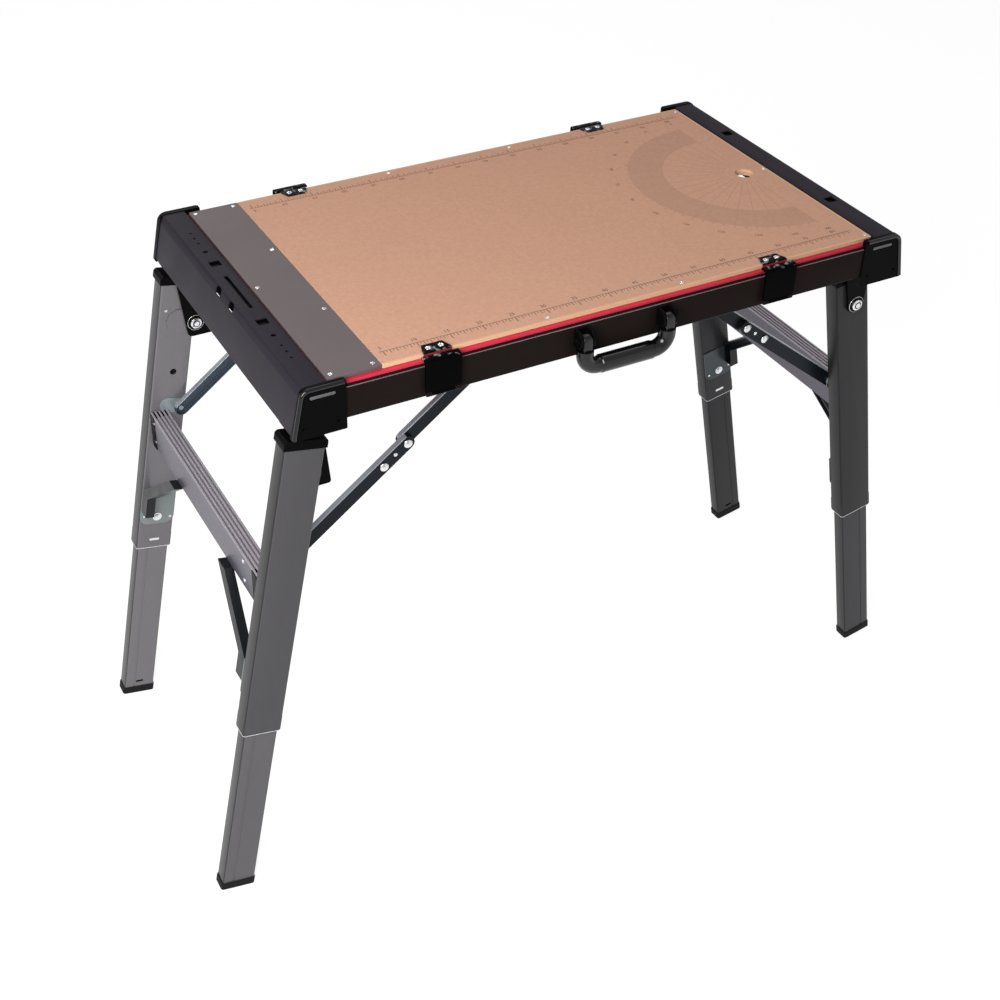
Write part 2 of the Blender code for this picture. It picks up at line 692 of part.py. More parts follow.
def build_cross_members():
    """Hat sections across the deck; the outer two carry the stays' ears."""
    top = -RAIL_TOP - RAIL_SHEET - GAP - CROSS_SHEET / 2
    bottom = top - CROSS_DEPTH
    half = CROSS_WIDTH / 2
    rim = half + CROSS_FLANGE
    path = [(-rim, top), (-half, top), (-half, bottom), (half, bottom), (half, top), (rim, top)]
    outline = sheet(fillet(path, 0.0012, 2, closed=False), CROSS_SHEET)
    length = RAIL_HALF_SPACING - RAIL_SHEET - CROSS_END_GAP
    for side, label in ((LEFT, "left"), (0, "middle"), (RIGHT, "right")):
        member = place(prism_mesh([outline], length, "Y"), f"cross_member_{label}", DECK,
                       (side * CROSS_X, 0, 0), look=BRONZE_PAINT)
        if side == 0:
            continue
        ear_face = stay_planes(side)[3]
        for row in ROWS:
            tongue = hull_of_circles((0.0, bottom), STAY_EAR_ROOT_RADIUS,
                                     (0.0, -STAY_DECK_DROP), LINK_RADIUS, 6)
            tongue = [(x, min(z, bottom)) for x, z in tongue]
            middle = row * (ear_face + STAY_EAR_SHEET / 2)
            combine(member, "UNION", [tongue], STAY_EAR_SHEET / 2, "Y", middle)
            start = ear_face + STAY_EAR_SHEET / 2
            end = ear_face + STAY_EAR_SHEET + GAP + LINK_DEPTH
            pin = circle((0.0, -STAY_DECK_DROP), LINK_PIN, 12)
            combine(member, "UNION", [pin], (end - start) / 2, "Y", row * (start + end) / 2)


def build_hinge_ears():
    """Pressed ears that carry the leg pivots, each with a stop plate over the leg's top."""
    middle = EAR_INNER_FACE + EAR_THICKNESS / 2
    for side, end in SIDES.items():
        pivot = (pivot_x(side), -PIVOT_DROP[side])
        inner = CAP_INNER_X + CAP_SHEET + GAP
        outline = [(inner, -0.006), (inner + EAR_OUT_TOP, -0.008), (inner + EAR_OUT_MIDDLE, -0.030),
                   (inner + EAR_OUT_LOW, -EAR_BEND_DROP)]
        if side == RIGHT:
            outline += arc(pivot, EAR_RADIUS, 20, -190, 12)
        else:
            foot = [(inner + EAR_OUT_LOW, -EAR_BEND_DROP), (pivot[0] + EAR_FOOT_OUT, -EAR_FOOT_DROP),
                    (pivot[0] - EAR_FOOT_IN, -EAR_FOOT_DROP), (inner - EAR_WAIST, -EAR_WAIST_DROP)]
            outline += fillet(foot, [0, 0.008, 0.004, 0], 3, closed=False)[1:-1]
        outline += [(inner - EAR_WAIST, -EAR_WAIST_DROP), (inner - 0.0060, -CAP_INNER_FLANGE - 0.004),
                    (inner, -CAP_INNER_FLANGE)]
        outline = [(side * x, z) for x, z in outline]
        for row, label in ROWS.items():
            ear = place(prism_mesh([outline], EAR_THICKNESS / 2, "Y"),
                        f"hinge_ear_{label}_{end}", DECK, (0, row * middle, 0), look=BLACK_STEEL)
            tab = box_outline(EAR_THICKNESS * 0.375, 0.015,
                              (side * (inner + EAR_THICKNESS * 0.375), -0.022))
            combine(ear, "UNION", [tab], EAR_TAB / 2, "Y",
                    -row * (EAR_TAB / 2 - EAR_THICKNESS / 2))
            stop_x = (inner - 0.004 + TABLE_LENGTH / 2 - 0.002) / 2
            stop = box_outline(TABLE_LENGTH / 2 - 0.002 - stop_x, STOP_SHEET / 2,
                               (side * stop_x, -CAP_DEPTH - GAP - STOP_SHEET / 2))
            near = EAR_INNER_FACE if side == LEFT else LEG_INNER_FACE[side]
            far = LEG_INNER_FACE[side] + LEG_THICKNESS if side == LEFT else EAR_INNER_FACE + 0.001
            combine(ear, "UNION", [stop], (far - near) / 2, "Y", row * ((near + far) / 2 - middle))
            add_hinge_bolt(ear, side, row)


def add_hinge_bolt(ear, side, row):
    """Pivot bolt: domed head and washer on the ear's free side, its shank in the leg."""
    half = EAR_THICKNESS / 2
    shank = EAR_THICKNESS + GAP + (LEG_WALL + LUG_STAND_OFF if side == LEFT else 0.0)
    if side == RIGHT:
        shank += LUG_STAND_OFF + LEG_THICKNESS
    toward = row * side
    profile = [(0.0, WASHER_THICKNESS + BOLT_HEAD_HEIGHT),
               (BOLT_HEAD_RADIUS * 0.6, WASHER_THICKNESS + BOLT_HEAD_HEIGHT * 0.86),
               (BOLT_HEAD_RADIUS * 0.95, WASHER_THICKNESS + BOLT_HEAD_HEIGHT * 0.45),
               (BOLT_HEAD_RADIUS, WASHER_THICKNESS), (WASHER_RADIUS, WASHER_THICKNESS),
               (WASHER_RADIUS, -half), (BOLT_RADIUS, -half), (BOLT_RADIUS, -shank)]
    if side == RIGHT:
        profile += [(BOLT_RADIUS, -shank - GAP), (NUT_RADIUS, -shank - GAP),
                    (NUT_RADIUS, -shank - GAP - NUT_HEIGHT), (0.0, -shank - GAP - NUT_HEIGHT)]
    else:
        profile += [(0.0, -shank)]
    bolt = turned_mesh(profile, toward)
    bolt.transform(Matrix.Translation((side * pivot_x(side), toward * half, -PIVOT_DROP[side])))
    combine_mesh(ear, "UNION", bolt)


# Carry handle

def build_handle():
    """Two clevis mounts on the front rail and the bail that swings in them."""
    slot = HANDLE_ARM / 2 + PIN_CLEARANCE
    half = slot + MOUNT_CHEEK
    back = -(RAIL_HALF_SPACING + GAP)
    front = back - MOUNT_REACH
    middle = -HANDLE_DROP
    body = fillet([(back, middle - MOUNT_HEIGHT / 2), (back, middle + MOUNT_HEIGHT / 2),
                   (front, middle + MOUNT_HEIGHT / 2 - 0.002), (front, middle - MOUNT_HEIGHT / 2 + 0.002)],
                  [0, 0, 0.008, 0.008], 4)
    for side, end in SIDES.items():
        mount = place(prism_mesh([body], half, "X"), f"handle_mount_{end}", DECK,
                      (side * HANDLE_HALF_SPAN, 0, 0), look=BLACK_PLASTIC)
        opening = box_outline(MOUNT_REACH, MOUNT_HEIGHT,
                              (back - MOUNT_BACK - MOUNT_REACH, middle))
        combine(mount, "DIFFERENCE", [opening], slot, "X")
        pin = circle((HANDLE_Y, middle), HANDLE_PIN, 12)
        combine(mount, "UNION", [pin], half - 0.001, "X")

    pivot = empty("handle_pivot", DECK, (0.0, HANDLE_Y, -HANDLE_DROP))
    tube_y = -HANDLE_TUBE_OUT
    start = -HANDLE_ARM_LOW
    low = -HANDLE_FALL
    right = [(HANDLE_HALF_SPAN, start)]
    right += arc((HANDLE_HALF_SPAN - HANDLE_BEND, low + HANDLE_BEND), HANDLE_BEND, 0, -90, 6)
    path = right + [(-x, z) for x, z in right[::-1]]
    handle = place(tube_mesh([(x, tube_y, z) for x, z in path], HANDLE_TUBE, 3), "carry_handle",
                   pivot, look=BLACK_PLASTIC)
    arm = hull_of_circles((0.0, 0.0), HANDLE_EYE, (tube_y, start - HANDLE_TUBE),
                          HANDLE_ARM_RADIUS, 6)
    hole = circle((0.0, 0.0), HANDLE_PIN + PIN_CLEARANCE, 12)
    for side in SIDES:
        combine(handle, "UNION", [arm], HANDLE_ARM / 2, "X", side * HANDLE_HALF_SPAN)
    combine(handle, "DIFFERENCE", [hole], HANDLE_HALF_SPAN + HANDLE_ARM, "X")
    shade(handle)


# Board clips

def build_clips():
    """Four over-centre clips: keepers on the board, levers hinged under the rails."""
    top = GAP + KEEPER_SHEET / 2
    edge = BOARD_HALF_WIDTH + GAP + KEEPER_SHEET / 2
    path = [(edge - KEEPER_REACH, top), (edge, top), (edge, -BOARD_THICKNESS + 0.0006)]
    bent = sheet(fillet(path, 0.001, 2, closed=False), KEEPER_SHEET)
    for row, label in ROWS.items():
        for side, end in SIDES.items():
            mesh = prism_mesh([[(row * y, z) for y, z in bent]], KEEPER_WIDTH / 2, "X")
            keeper = place(mesh, f"clip_keeper_{label}_{end}", DECK, (side * CLIP_X[row, side], 0, 0),
                           look=BLACK_STEEL)
            half, back = KEEPER_WIDTH / 2, edge - KEEPER_REACH
            corners = [[(x * half, row * (back + KEEPER_REACH * 0.8)),
                        (x * (half + 0.001), row * (back - 0.001)),
                        (x * (half - KEEPER_TAPER), row * (back - 0.001))] for x in (-1, 1)]
            combine(keeper, "DIFFERENCE", corners, 0.004, "Z")
            build_lever(side, end, row, label)


def build_lever(side, end, row, label):
    """One clip lever: a plate with a lip over the board's edge and a barrel at its foot."""
    pivot = empty(f"clip_pivot_{label}_{end}", DECK,
                  (side * CLIP_X[row, side], row * CLIP_Y, -CLIP_PIVOT_DROP))
    foot = CLIP_PIVOT_DROP - CLIP_FOOT_DROP
    head = CLIP_PIVOT_DROP - CLIP_SHEET / 2
    path = [(0.0, foot), (0.0, head), (-CLIP_LIP, head)]
    bent = sheet(fillet(path, 0.003, 3, closed=False), CLIP_SHEET)
    mesh = prism_mesh([[(row * y, z) for y, z in bent]], CLIP_WIDTH / 2, "X")
    lever = place(mesh, f"clip_lever_{label}_{end}", pivot, look=BLACK_STEEL)
    tongue = box_outline(CLIP_SHEET / 2, (foot + 0.001) / 2, (0.0, (foot + 0.001) / 2))
    combine(lever, "UNION", [tongue], CLIP_TONGUE / 2 - GAP, "X")
    combine(lever, "UNION", [circle((0.0, 0.0), CLIP_BARREL, 12)], CLIP_TONGUE / 2 - GAP, "X")
    bore = circle((0.0, 0.0), CLIP_PIN + GAP, 10)
    combine(lever, "DIFFERENCE", [bore], CLIP_TONGUE, "X")


def add_clip_hinge(rail, middle, row):
    """Base plate of one clip on its rail, with two knuckles and their pin."""
    face = RAIL_HALF_SPACING
    outer = CLIP_Y - CLIP_SHEET / 2 - GAP
    root = face - RAIL_SHEET / 2
    pivot = -CLIP_PIVOT_DROP
    knuckle = [(root, pivot + 2 * CLIP_BARREL), (outer, pivot + 2 * CLIP_BARREL),
               (outer, pivot + CLIP_BARREL)]
    knuckle += arc((CLIP_Y, pivot), CLIP_BARREL, 40, -150, 6)
    knuckle += [(root, pivot - CLIP_BARREL)]
    knuckle = [(row * y, z) for y, z in knuckle]
    inner = CLIP_TONGUE / 2 + GAP
    for end in (-1, 1):
        reach = CLIP_KNUCKLE / 2
        combine(rail, "UNION", [knuckle], reach, "X", middle + end * (inner + reach))
    plate = box_outline(RAIL_SHEET * 0.8, 2 * CLIP_BARREL, (row * (face + 0.0004), pivot))
    combine(rail, "UNION", [plate], inner + 0.001, "X", middle)
    pin = circle((row * CLIP_Y, pivot), CLIP_PIN, 10)
    combine(rail, "UNION", [pin], inner + 0.001, "X", middle)


# Leg frames

def build_leg(side, end, row, label):
    """Upper tube, its top cap, the sliding lower tube and the rubber foot of one leg."""
    frame = FRAMES[side]
    x = side * PIVOT_INBOARD[side]
    y = row * leg_middle(side)
    foot = leg_z(side, FOOT_CENTRE_DROP[side])
    step = foot + LOWER_SHOWN
    top = leg_z(side, LEG_TOP_DROP)
    bore_half = (LEG_WIDTH / 2 - LEG_WALL, LEG_THICKNESS / 2 - LEG_WALL)
    loops = [fillet(box_outline(LEG_WIDTH / 2, LEG_THICKNESS / 2), LEG_CORNER, 3),
             fillet(box_outline(*bore_half), LEG_CORNER - LEG_WALL, 3)]
    upper = place(prism_mesh(loops, (top - step) / 2, "Z", (top + step) / 2),
                  f"leg_upper_{label}_{end}", frame, (x, y, 0), look=GREY_PAINT)
    inward = -row * LEG_THICKNESS / 2
    bush = [box_outline(bore_half[0] + LEG_WALL / 2, bore_half[1] + LEG_WALL / 2),
            fillet(box_outline(bore_half[0] - BUSH_WALL, bore_half[1] - BUSH_WALL), 0.002, 2)]
    combine(upper, "UNION", bush, BUSH_HEIGHT / 2, "Z", step + LEG_WALL + BUSH_HEIGHT / 2)
    add_leg_pivot(upper, side, row)
    add_stay_bracket(upper, side, row)
    lock_size = (LOCK_HALF_LENGTH, LOCK_HALF_HEIGHT)
    lock = fillet(box_outline(*lock_size, (0.0, step + LOCK_RISE)), LOCK_HALF_HEIGHT * 0.9, 3)
    combine(upper, "DIFFERENCE", [lock], LEG_THICKNESS / 2, "Y", inward)
    port = circle((-side * PORT_OFFSET, leg_z(side, PORT_DROP)), PORT_RADIUS, 12)
    combine(upper, "DIFFERENCE", [port], LEG_WALL * 2, "Y", inward)

    cap_half = LEG_WIDTH / 2 + GAP + TOP_CAP_WALL
    cap_depth = LEG_THICKNESS / 2 + GAP + TOP_CAP_WALL
    low, high = top - TOP_CAP_SKIRT, top + TOP_CAP_CROWN
    outline = fillet([(-cap_half, low), (cap_half, low), (cap_half, high), (-cap_half, high)],
                     [0, 0, 0.006, 0.006], 4)
    cap = place(prism_mesh([outline], cap_depth, "Y"), f"leg_top_cap_{label}_{end}", frame,
                (x, y, 0), look=BLACK_PLASTIC)
    socket = fillet(box_outline(LEG_WIDTH / 2 + GAP, LEG_THICKNESS / 2 + GAP), LEG_CORNER, 3)
    combine(cap, "DIFFERENCE", [socket], TOP_CAP_SKIRT, "Z", top + GAP - TOP_CAP_SKIRT)

    slide = empty(f"leg_slide_{label}_{end}", frame, (x, y, foot))
    outer = [(-LOWER_WIDTH / 2, -LOWER_THICKNESS / 2), (LOWER_WIDTH / 2, -LOWER_THICKNESS / 2),
             (LOWER_WIDTH / 2, LOWER_THICKNESS / 2), (-LOWER_WIDTH / 2, LOWER_THICKNESS / 2)]
    outer = fillet(outer, LEG_CORNER - LEG_WALL, 3)
    inner = fillet(box_outline(LOWER_WIDTH / 2 - LOWER_WALL, LOWER_THICKNESS / 2 - LOWER_WALL),
                   0.0008, 1)
    base, head = FOOT_BASE + GAP, LOWER_SHOWN + LOWER_OVERLAP
    lower = place(prism_mesh([outer, inner], (head - base) / 2, "Z", (head + base) / 2),
                  f"leg_lower_{label}_{end}", slide, look=GREY_PAINT)
    for face in (-1, 1):
        centre = (side * GROOVE_OFFSET, face * LOWER_THICKNESS / 2)
        channel = box_outline(GROOVE_HALF_WIDTH, GROOVE_DEPTH, centre)
        combine(lower, "DIFFERENCE", [channel], head, "Z")
    lock = fillet(box_outline(*lock_size, (0.0, LOWER_SHOWN + LOCK_RISE)), LOCK_HALF_HEIGHT * 0.9, 3)
    combine(lower, "DIFFERENCE", [lock], LOWER_THICKNESS / 2, "Y", -row * LOWER_THICKNESS / 2)
    slot = box_outline(TOE_SLOT_HALF_LENGTH, TOE_SLOT_HALF_HEIGHT, (0.0, TOE_SLOT_RISE))
    slot = fillet(slot, TOE_SLOT_HALF_HEIGHT * 0.9, 3)
    combine(lower, "DIFFERENCE", [slot], LOWER_WALL * 2, "Y", -row * LOWER_THICKNESS / 2)

    corners = box_outline(FOOT_HALF_WIDTH, FOOT_HALF_THICKNESS)
    shoe = place(prism_mesh([fillet(corners, LEG_CORNER, 3)], FOOT_HEIGHT / 2, "Z", FOOT_HEIGHT / 2),
                 f"foot_{label}_{end}", slide, look=RUBBER)
    pocket = fillet(box_outline(LOWER_WIDTH / 2 + GAP, LOWER_THICKNESS / 2 + GAP),
                    LEG_CORNER - LEG_WALL, 3)
    combine(shoe, "DIFFERENCE", [pocket], FOOT_HEIGHT / 2, "Z", FOOT_BASE + FOOT_HEIGHT / 2)


def add_leg_pivot(upper, side, row):
    """Stand-off plate and hole where the leg's pivot bolt goes through the upper tube."""
    out = -row if side == LEFT else row
    root = LEG_THICKNESS / 2 - LEG_WALL / 2
    tip = LEG_THICKNESS / 2 + LUG_STAND_OFF - GAP
    pivot = (-side * PIVOT_INBOARD[side], 0.0)
    plate = circle(pivot, WASHER_RADIUS, 16)
    if side == LEFT:
        plate = hull_of_circles(pivot, LUG_RADIUS, (pivot[0] + side * LUG_LENGTH, 0.0),
                                LUG_END_RADIUS, 6)
    combine(upper, "UNION", [plate], (tip - root) / 2, "Y", out * (tip + root) / 2)
    hole = circle(pivot, BOLT_RADIUS + PIN_CLEARANCE, 16)
    depth = LEG_WALL * 2 if side == LEFT else LEG_THICKNESS
    combine(upper, "DIFFERENCE", [hole], depth, "Y", out * LEG_THICKNESS / 2)


def add_stay_bracket(upper, side, row):
    """Plate and boss on the leg's inner face, with the pin of the stay's lower link."""
    pin_at = stay_leg_point(side)
    x = pin_at.x - side * PIVOT_INBOARD[side]
    root = LEG_THICKNESS / 2 - LEG_WALL / 2
    plate = LEG_THICKNESS / 2 + STAY_BRACKET_SHEET
    tip = LEG_THICKNESS / 2 + STAY_STAND_OFF
    outline = hull_of_circles((x, pin_at.z), STAY_BRACKET_RADIUS,
                              (0.0, pin_at.z), STAY_BRACKET_ROOT_RADIUS, 8)
    combine(upper, "UNION", [outline], (plate - root) / 2, "Y", -row * (plate + root) / 2)
    boss = circle((x, pin_at.z), STAY_BOSS_RADIUS, 16)
    combine(upper, "UNION", [boss], (tip - root) / 2, "Y", -row * (tip + root) / 2)
    pin = circle((x, pin_at.z), LINK_PIN, 12)
    end = tip + GAP + LINK_SHEET + LINK_PIN_PROUD
    combine(upper, "UNION", [pin], (end - root) / 2, "Y", -row * (end + root) / 2)


def stay_leg_point(side):
    """Pin of a stay's lower link, in its leg frame's own axes."""
    return frame_point(side, leg_x(side, STAY_LEG_DROP) - STAY_LEG_INBOARD, STAY_LEG_DROP)


def build_rung(side, end):
    """Extruded tread between the legs: ribbed on top, hollow inside and level."""
    half, top, bottom = RUNG_WIDTH / 2, RUNG_HEIGHT / 2, -RUNG_HEIGHT / 2
    outline = [(-half, bottom), (half, bottom), (half, top)]
    pitch = RUNG_WIDTH / (2 * RUNG_GROOVES + 1)
    for groove in range(RUNG_GROOVES):
        start = half - pitch * (2 * groove + 1)
        outline += [(start, top), (start, top - RUNG_GROOVE_DEPTH),
                    (start - pitch, top - RUNG_GROOVE_DEPTH), (start - pitch, top)]
    outline += [(-half, top)]
    hollow = [(-half + RUNG_WALL, bottom + RUNG_WALL), (half - RUNG_WALL, bottom + RUNG_WALL),
              (half - RUNG_WALL, top - RUNG_GROOVE_DEPTH - RUNG_WALL),
              (-half + RUNG_WALL, top - RUNG_GROOVE_DEPTH - RUNG_WALL)]
    length = LEG_INNER_FACE[side] - STAY_BRACKET_SHEET - GAP
    drop = RUNG_TOP_DROP + RUNG_HEIGHT / 2
    where = frame_point(side, leg_x(side, drop) + RUNG_OUTBOARD, drop)
    place(prism_mesh([outline, hollow], length, "Y"), f"rung_{end}", FRAMES[side], where,
          side * SPLAY[side], look=ALUMINIUM)


def build_braces(side, end):
    """Two braces: a plate on the leg's inner face and a channel bar up to the rung's underside."""
    face = LEG_INNER_FACE[side] - GAP
    middle = face - BRACE_SHEET / 2
    half, top, bottom = BRACE_WIDTH / 2, leg_z(side, BRACE_TOP_DROP), leg_z(side, BRACE_BOTTOM_DROP)
    corners = [(-half, bottom), (half, bottom), (half, top), (-half, top)]
    plate = fillet(corners, [0.014, 0.014, 0.003, 0.003], 4)
    bar_x = half - BRACE_BAR_WIDTH
    under_rung = frame_point(side, leg_x(side, RUNG_BOTTOM_DROP) + half, RUNG_BOTTOM_DROP)
    under = under_rung.z - GAP
    low, high = leg_z(side, BRACE_BAR_LOW), leg_z(side, BRACE_BAR_HIGH)
    knee = leg_z(side, BRACE_BAR_KNEE)
    bar = [(middle, low), (middle - BRACE_BAR_FOOT, low), (middle - BRACE_BAR_FOOT, knee),
           (middle - BRACE_REACH, under), (middle - BRACE_REACH + BRACE_BAR_TOP, under),
           (middle, high)]
    wall = BRACE_SHEET
    hollow = [(middle - 3 * wall, low + wall), (middle - BRACE_BAR_FOOT + wall, low + wall),
              (middle - BRACE_BAR_FOOT + wall, knee + wall / 2),
              (middle - BRACE_REACH + 3 * wall, under - wall),
              (middle - BRACE_REACH + BRACE_BAR_TOP - 1.2 * wall, under - wall),
              (middle - 3 * wall, high + wall / 2)]
    for row, label in ROWS.items():
        brace = place(prism_mesh([plate], BRACE_SHEET / 2, "Y", row * middle),
                      f"rung_brace_{label}_{end}", FRAMES[side],
                      (side * PIVOT_INBOARD[side], 0, 0), look=ZINC)
        combine(brace, "UNION", [[(row * y, z) for y, z in bar]], BRACE_BAR_WIDTH / 2, "X",
                side * (bar_x + BRACE_BAR_WIDTH / 2))
        combine(brace, "DIFFERENCE", [[(row * y, z) for y, z in hollow]], BRACE_BAR_WIDTH / 2, "X",
                side * (bar_x + BRACE_BAR_WIDTH / 2 - BRACE_SHEET))


def link(name, parent, location, turn, length, side_y, row, rivet):
    """One pressed link: a tray with round ends, its web on the side of the leg."""
    outline = hull_of_circles((0.0, 0.0), LINK_RADIUS, (length, 0.0), LINK_RADIUS, 7)
    hollow = hull_of_circles((0.0, 0.0), LINK_RADIUS - LINK_SHEET,
                             (length, 0.0), LINK_RADIUS - LINK_SHEET, 7)
    middle = row * (side_y + LINK_DEPTH / 2)
    made = place(prism_mesh([outline], LINK_DEPTH / 2, "Y", middle), name, parent, location, turn,
                 look=ZINC)
    combine(made, "DIFFERENCE", [hollow], LINK_DEPTH / 2, "Y", middle - row * LINK_SHEET)
    eye = circle((0.0, 0.0), LINK_PIN + PIN_CLEARANCE, 12)
    combine(made, "DIFFERENCE", [eye], LINK_DEPTH, "Y", middle)
    if rivet:
        web = row * (side_y + LINK_DEPTH)
        for x in (length, length - RIVET_SPACING):
            head = circle((x, 0.0), RIVET_RADIUS, 12)
            combine(made, "UNION", [head], RIVET_HEIGHT / 2 + 0.0002, "Y",
                    web + row * (RIVET_HEIGHT / 2 - 0.0002))
    return made


def build_stays(side, end):
    """Folding stays: upper links on the deck's ears, lower links on the legs' brackets."""
    _, lower_y, upper_y, _ = stay_planes(side)
    deck_end = Vector((side * CROSS_X, -STAY_DECK_DROP))
    leg_end = Vector((side * (leg_x(side, STAY_LEG_DROP) - STAY_LEG_INBOARD), -STAY_LEG_DROP))
    span = leg_end - deck_end
    upper_length = span.length - STAY_LOWER_LENGTH
    heading = -math.atan2(span.y, span.x)
    back_heading = -math.atan2(-span.y, -span.x)
    pin_at = stay_leg_point(side)
    for row, label in ROWS.items():
        upper = empty(f"stay_upper_pivot_{label}_{end}", DECK, (deck_end.x, 0, deck_end.y), heading)
        link(f"stay_upper_{label}_{end}", upper, (0, 0, 0), 0.0, upper_length, upper_y, row, False)
        lower = empty(f"stay_lower_pivot_{label}_{end}", FRAMES[side], pin_at,
                      back_heading + side * SPLAY[side])
        link(f"stay_lower_{label}_{end}", lower, (0, 0, 0), 0.0, STAY_LOWER_LENGTH, lower_y, row, True)


build_worktop()
build_rails()
build_end_caps()
build_corner_blocks()
build_cross_members()
build_hinge_ears()
build_handle()
build_clips()
for SIDE, END in SIDES.items():
    for ROW, LABEL in ROWS.items():
        build_leg(SIDE, END, ROW, LABEL)
    build_rung(SIDE, END)
    build_braces(SIDE, END)
    build_stays(SIDE, END)
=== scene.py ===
"""Studio scene of a folding work table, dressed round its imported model.

The table's solids come from the frame. Each sub-assembly is a class that refines its solids' edges,
adds the small pieces that only the eye needs, and gives every piece its finish. Units are metres,
+Z is up, X runs along the table and the front is -Y.
"""

import json
import logging
import math
from dataclasses import dataclass, field
from enum import Enum
from typing import Optional, Sequence, Union

import bmesh
import bpy
import numpy as np
from mathutils import Matrix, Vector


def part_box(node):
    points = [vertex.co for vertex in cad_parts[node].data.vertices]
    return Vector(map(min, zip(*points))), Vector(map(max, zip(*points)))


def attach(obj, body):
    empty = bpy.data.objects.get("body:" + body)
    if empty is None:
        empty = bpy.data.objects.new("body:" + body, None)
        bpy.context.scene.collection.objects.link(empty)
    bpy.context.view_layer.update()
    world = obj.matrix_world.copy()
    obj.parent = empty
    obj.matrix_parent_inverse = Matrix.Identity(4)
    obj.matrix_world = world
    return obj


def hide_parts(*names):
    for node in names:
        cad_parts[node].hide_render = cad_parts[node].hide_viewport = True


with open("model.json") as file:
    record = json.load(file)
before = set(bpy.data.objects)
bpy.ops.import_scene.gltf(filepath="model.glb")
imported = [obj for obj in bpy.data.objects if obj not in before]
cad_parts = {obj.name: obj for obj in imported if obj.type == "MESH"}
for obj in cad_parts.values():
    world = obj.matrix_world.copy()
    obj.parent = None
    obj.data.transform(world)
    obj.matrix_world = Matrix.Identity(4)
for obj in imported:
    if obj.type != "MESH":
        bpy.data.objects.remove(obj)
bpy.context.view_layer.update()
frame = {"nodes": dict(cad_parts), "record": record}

LOG = logging.getLogger("work_table")
Colour = tuple[float, float, float]
Vec = tuple[float, float, float]

BOARD_LOW, BOARD_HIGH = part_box("worktop_board")
DECK_TOP = float(BOARD_HIGH[2])
MIDDLE_Y = float(BOARD_LOW[1] + BOARD_HIGH[1]) / 2
PEG_HOLE = (0.400, MIDDLE_Y)

# Clean-up of meshes: distances in metres within which points are merged, on the nodes' copies and on
# new pieces, and angles in degrees, under which facets count as flat and above which edges are rounded

MERGE = 0.00001
FINE_MERGE = 0.000002
FLAT_ANGLE = 0.5
EDGE_ANGLE = 32.0


class Side(Enum):
    """The two leg frames, by the sign of their place along X."""

    LEFT = -1
    RIGHT = 1

    @property
    def word(self) -> str:
        """The side's word in node names."""
        return self.name.lower()


class Row(Enum):
    """The two long edges, by the sign of their place along Y."""

    FRONT = -1
    BACK = 1

    @property
    def word(self) -> str:
        """The row's word in node names."""
        return self.name.lower()


class Recess(Enum):
    """Drive recesses of a screw head, by their number of bars or flats."""

    CROSS = 2
    HEX = 6
    NONE = 0


# Shader maths


class Value:
    """A shader socket that can be used in Python expressions."""

    def __init__(self, shader: "Shader", socket: bpy.types.NodeSocket) -> None:
        """Wrap a node's output socket."""
        self.shader = shader
        self.socket = socket

    def maths(self, operation: str, *others: Union["Value", float], first: bool = True) -> "Value":
        """Add a Math node, of which this value is the first operand or the last."""
        operands = (self, *others) if first else (*others, self)
        return self.shader.node("ShaderNodeMath", {"operation": operation}, dict(enumerate(operands)))

    def __add__(self, other: Union["Value", float]) -> "Value":
        """Sum."""
        return self.maths("ADD", other)

    def __radd__(self, other: float) -> "Value":
        """Reflected sum."""
        return self.maths("ADD", other)

    def __sub__(self, other: Union["Value", float]) -> "Value":
        """Difference."""
        return self.maths("SUBTRACT", other)

    def __rsub__(self, other: float) -> "Value":
        """Reflected difference."""
        return self.maths("SUBTRACT", other, first=False)

    def __mul__(self, other: Union["Value", float]) -> "Value":
        """Product."""
        return self.maths("MULTIPLY", other)

    def __rmul__(self, other: float) -> "Value":
        """Reflected product."""
        return self.maths("MULTIPLY", other)

    def __pow__(self, other: float) -> "Value":
        """Power."""
        return self.maths("POWER", other)

    def __rpow__(self, other: float) -> "Value":
        """Reflected power."""
        return self.maths("POWER", other, first=False)

    def __abs__(self) -> "Value":
        """Absolute value."""
        return self.maths("ABSOLUTE")

    def __lt__(self, other: Union["Value", float]) -> "Value":
        """1 where less."""
        return self.maths("LESS_THAN", other)

    def __gt__(self, other: Union["Value", float]) -> "Value":
        """1 where greater."""
        return self.maths("GREATER_THAN", other)

    def both(self, other: "Value") -> "Value":
        """The lesser of two masks."""
        return self.maths("MINIMUM", other)

    def either(self, other: "Value") -> "Value":
        """The greater of two masks."""
        return self.maths("MAXIMUM", other)

    def off_multiple(self, pitch: float) -> "Value":
        """Distance from the nearest whole multiple of a pitch."""
        return self.maths("PINGPONG", pitch / 2)

    def clamped(self) -> "Value":
        """The value, kept between 0 and 1."""
        return self.maths("MAXIMUM", 0.0).maths("MINIMUM", 1.0)


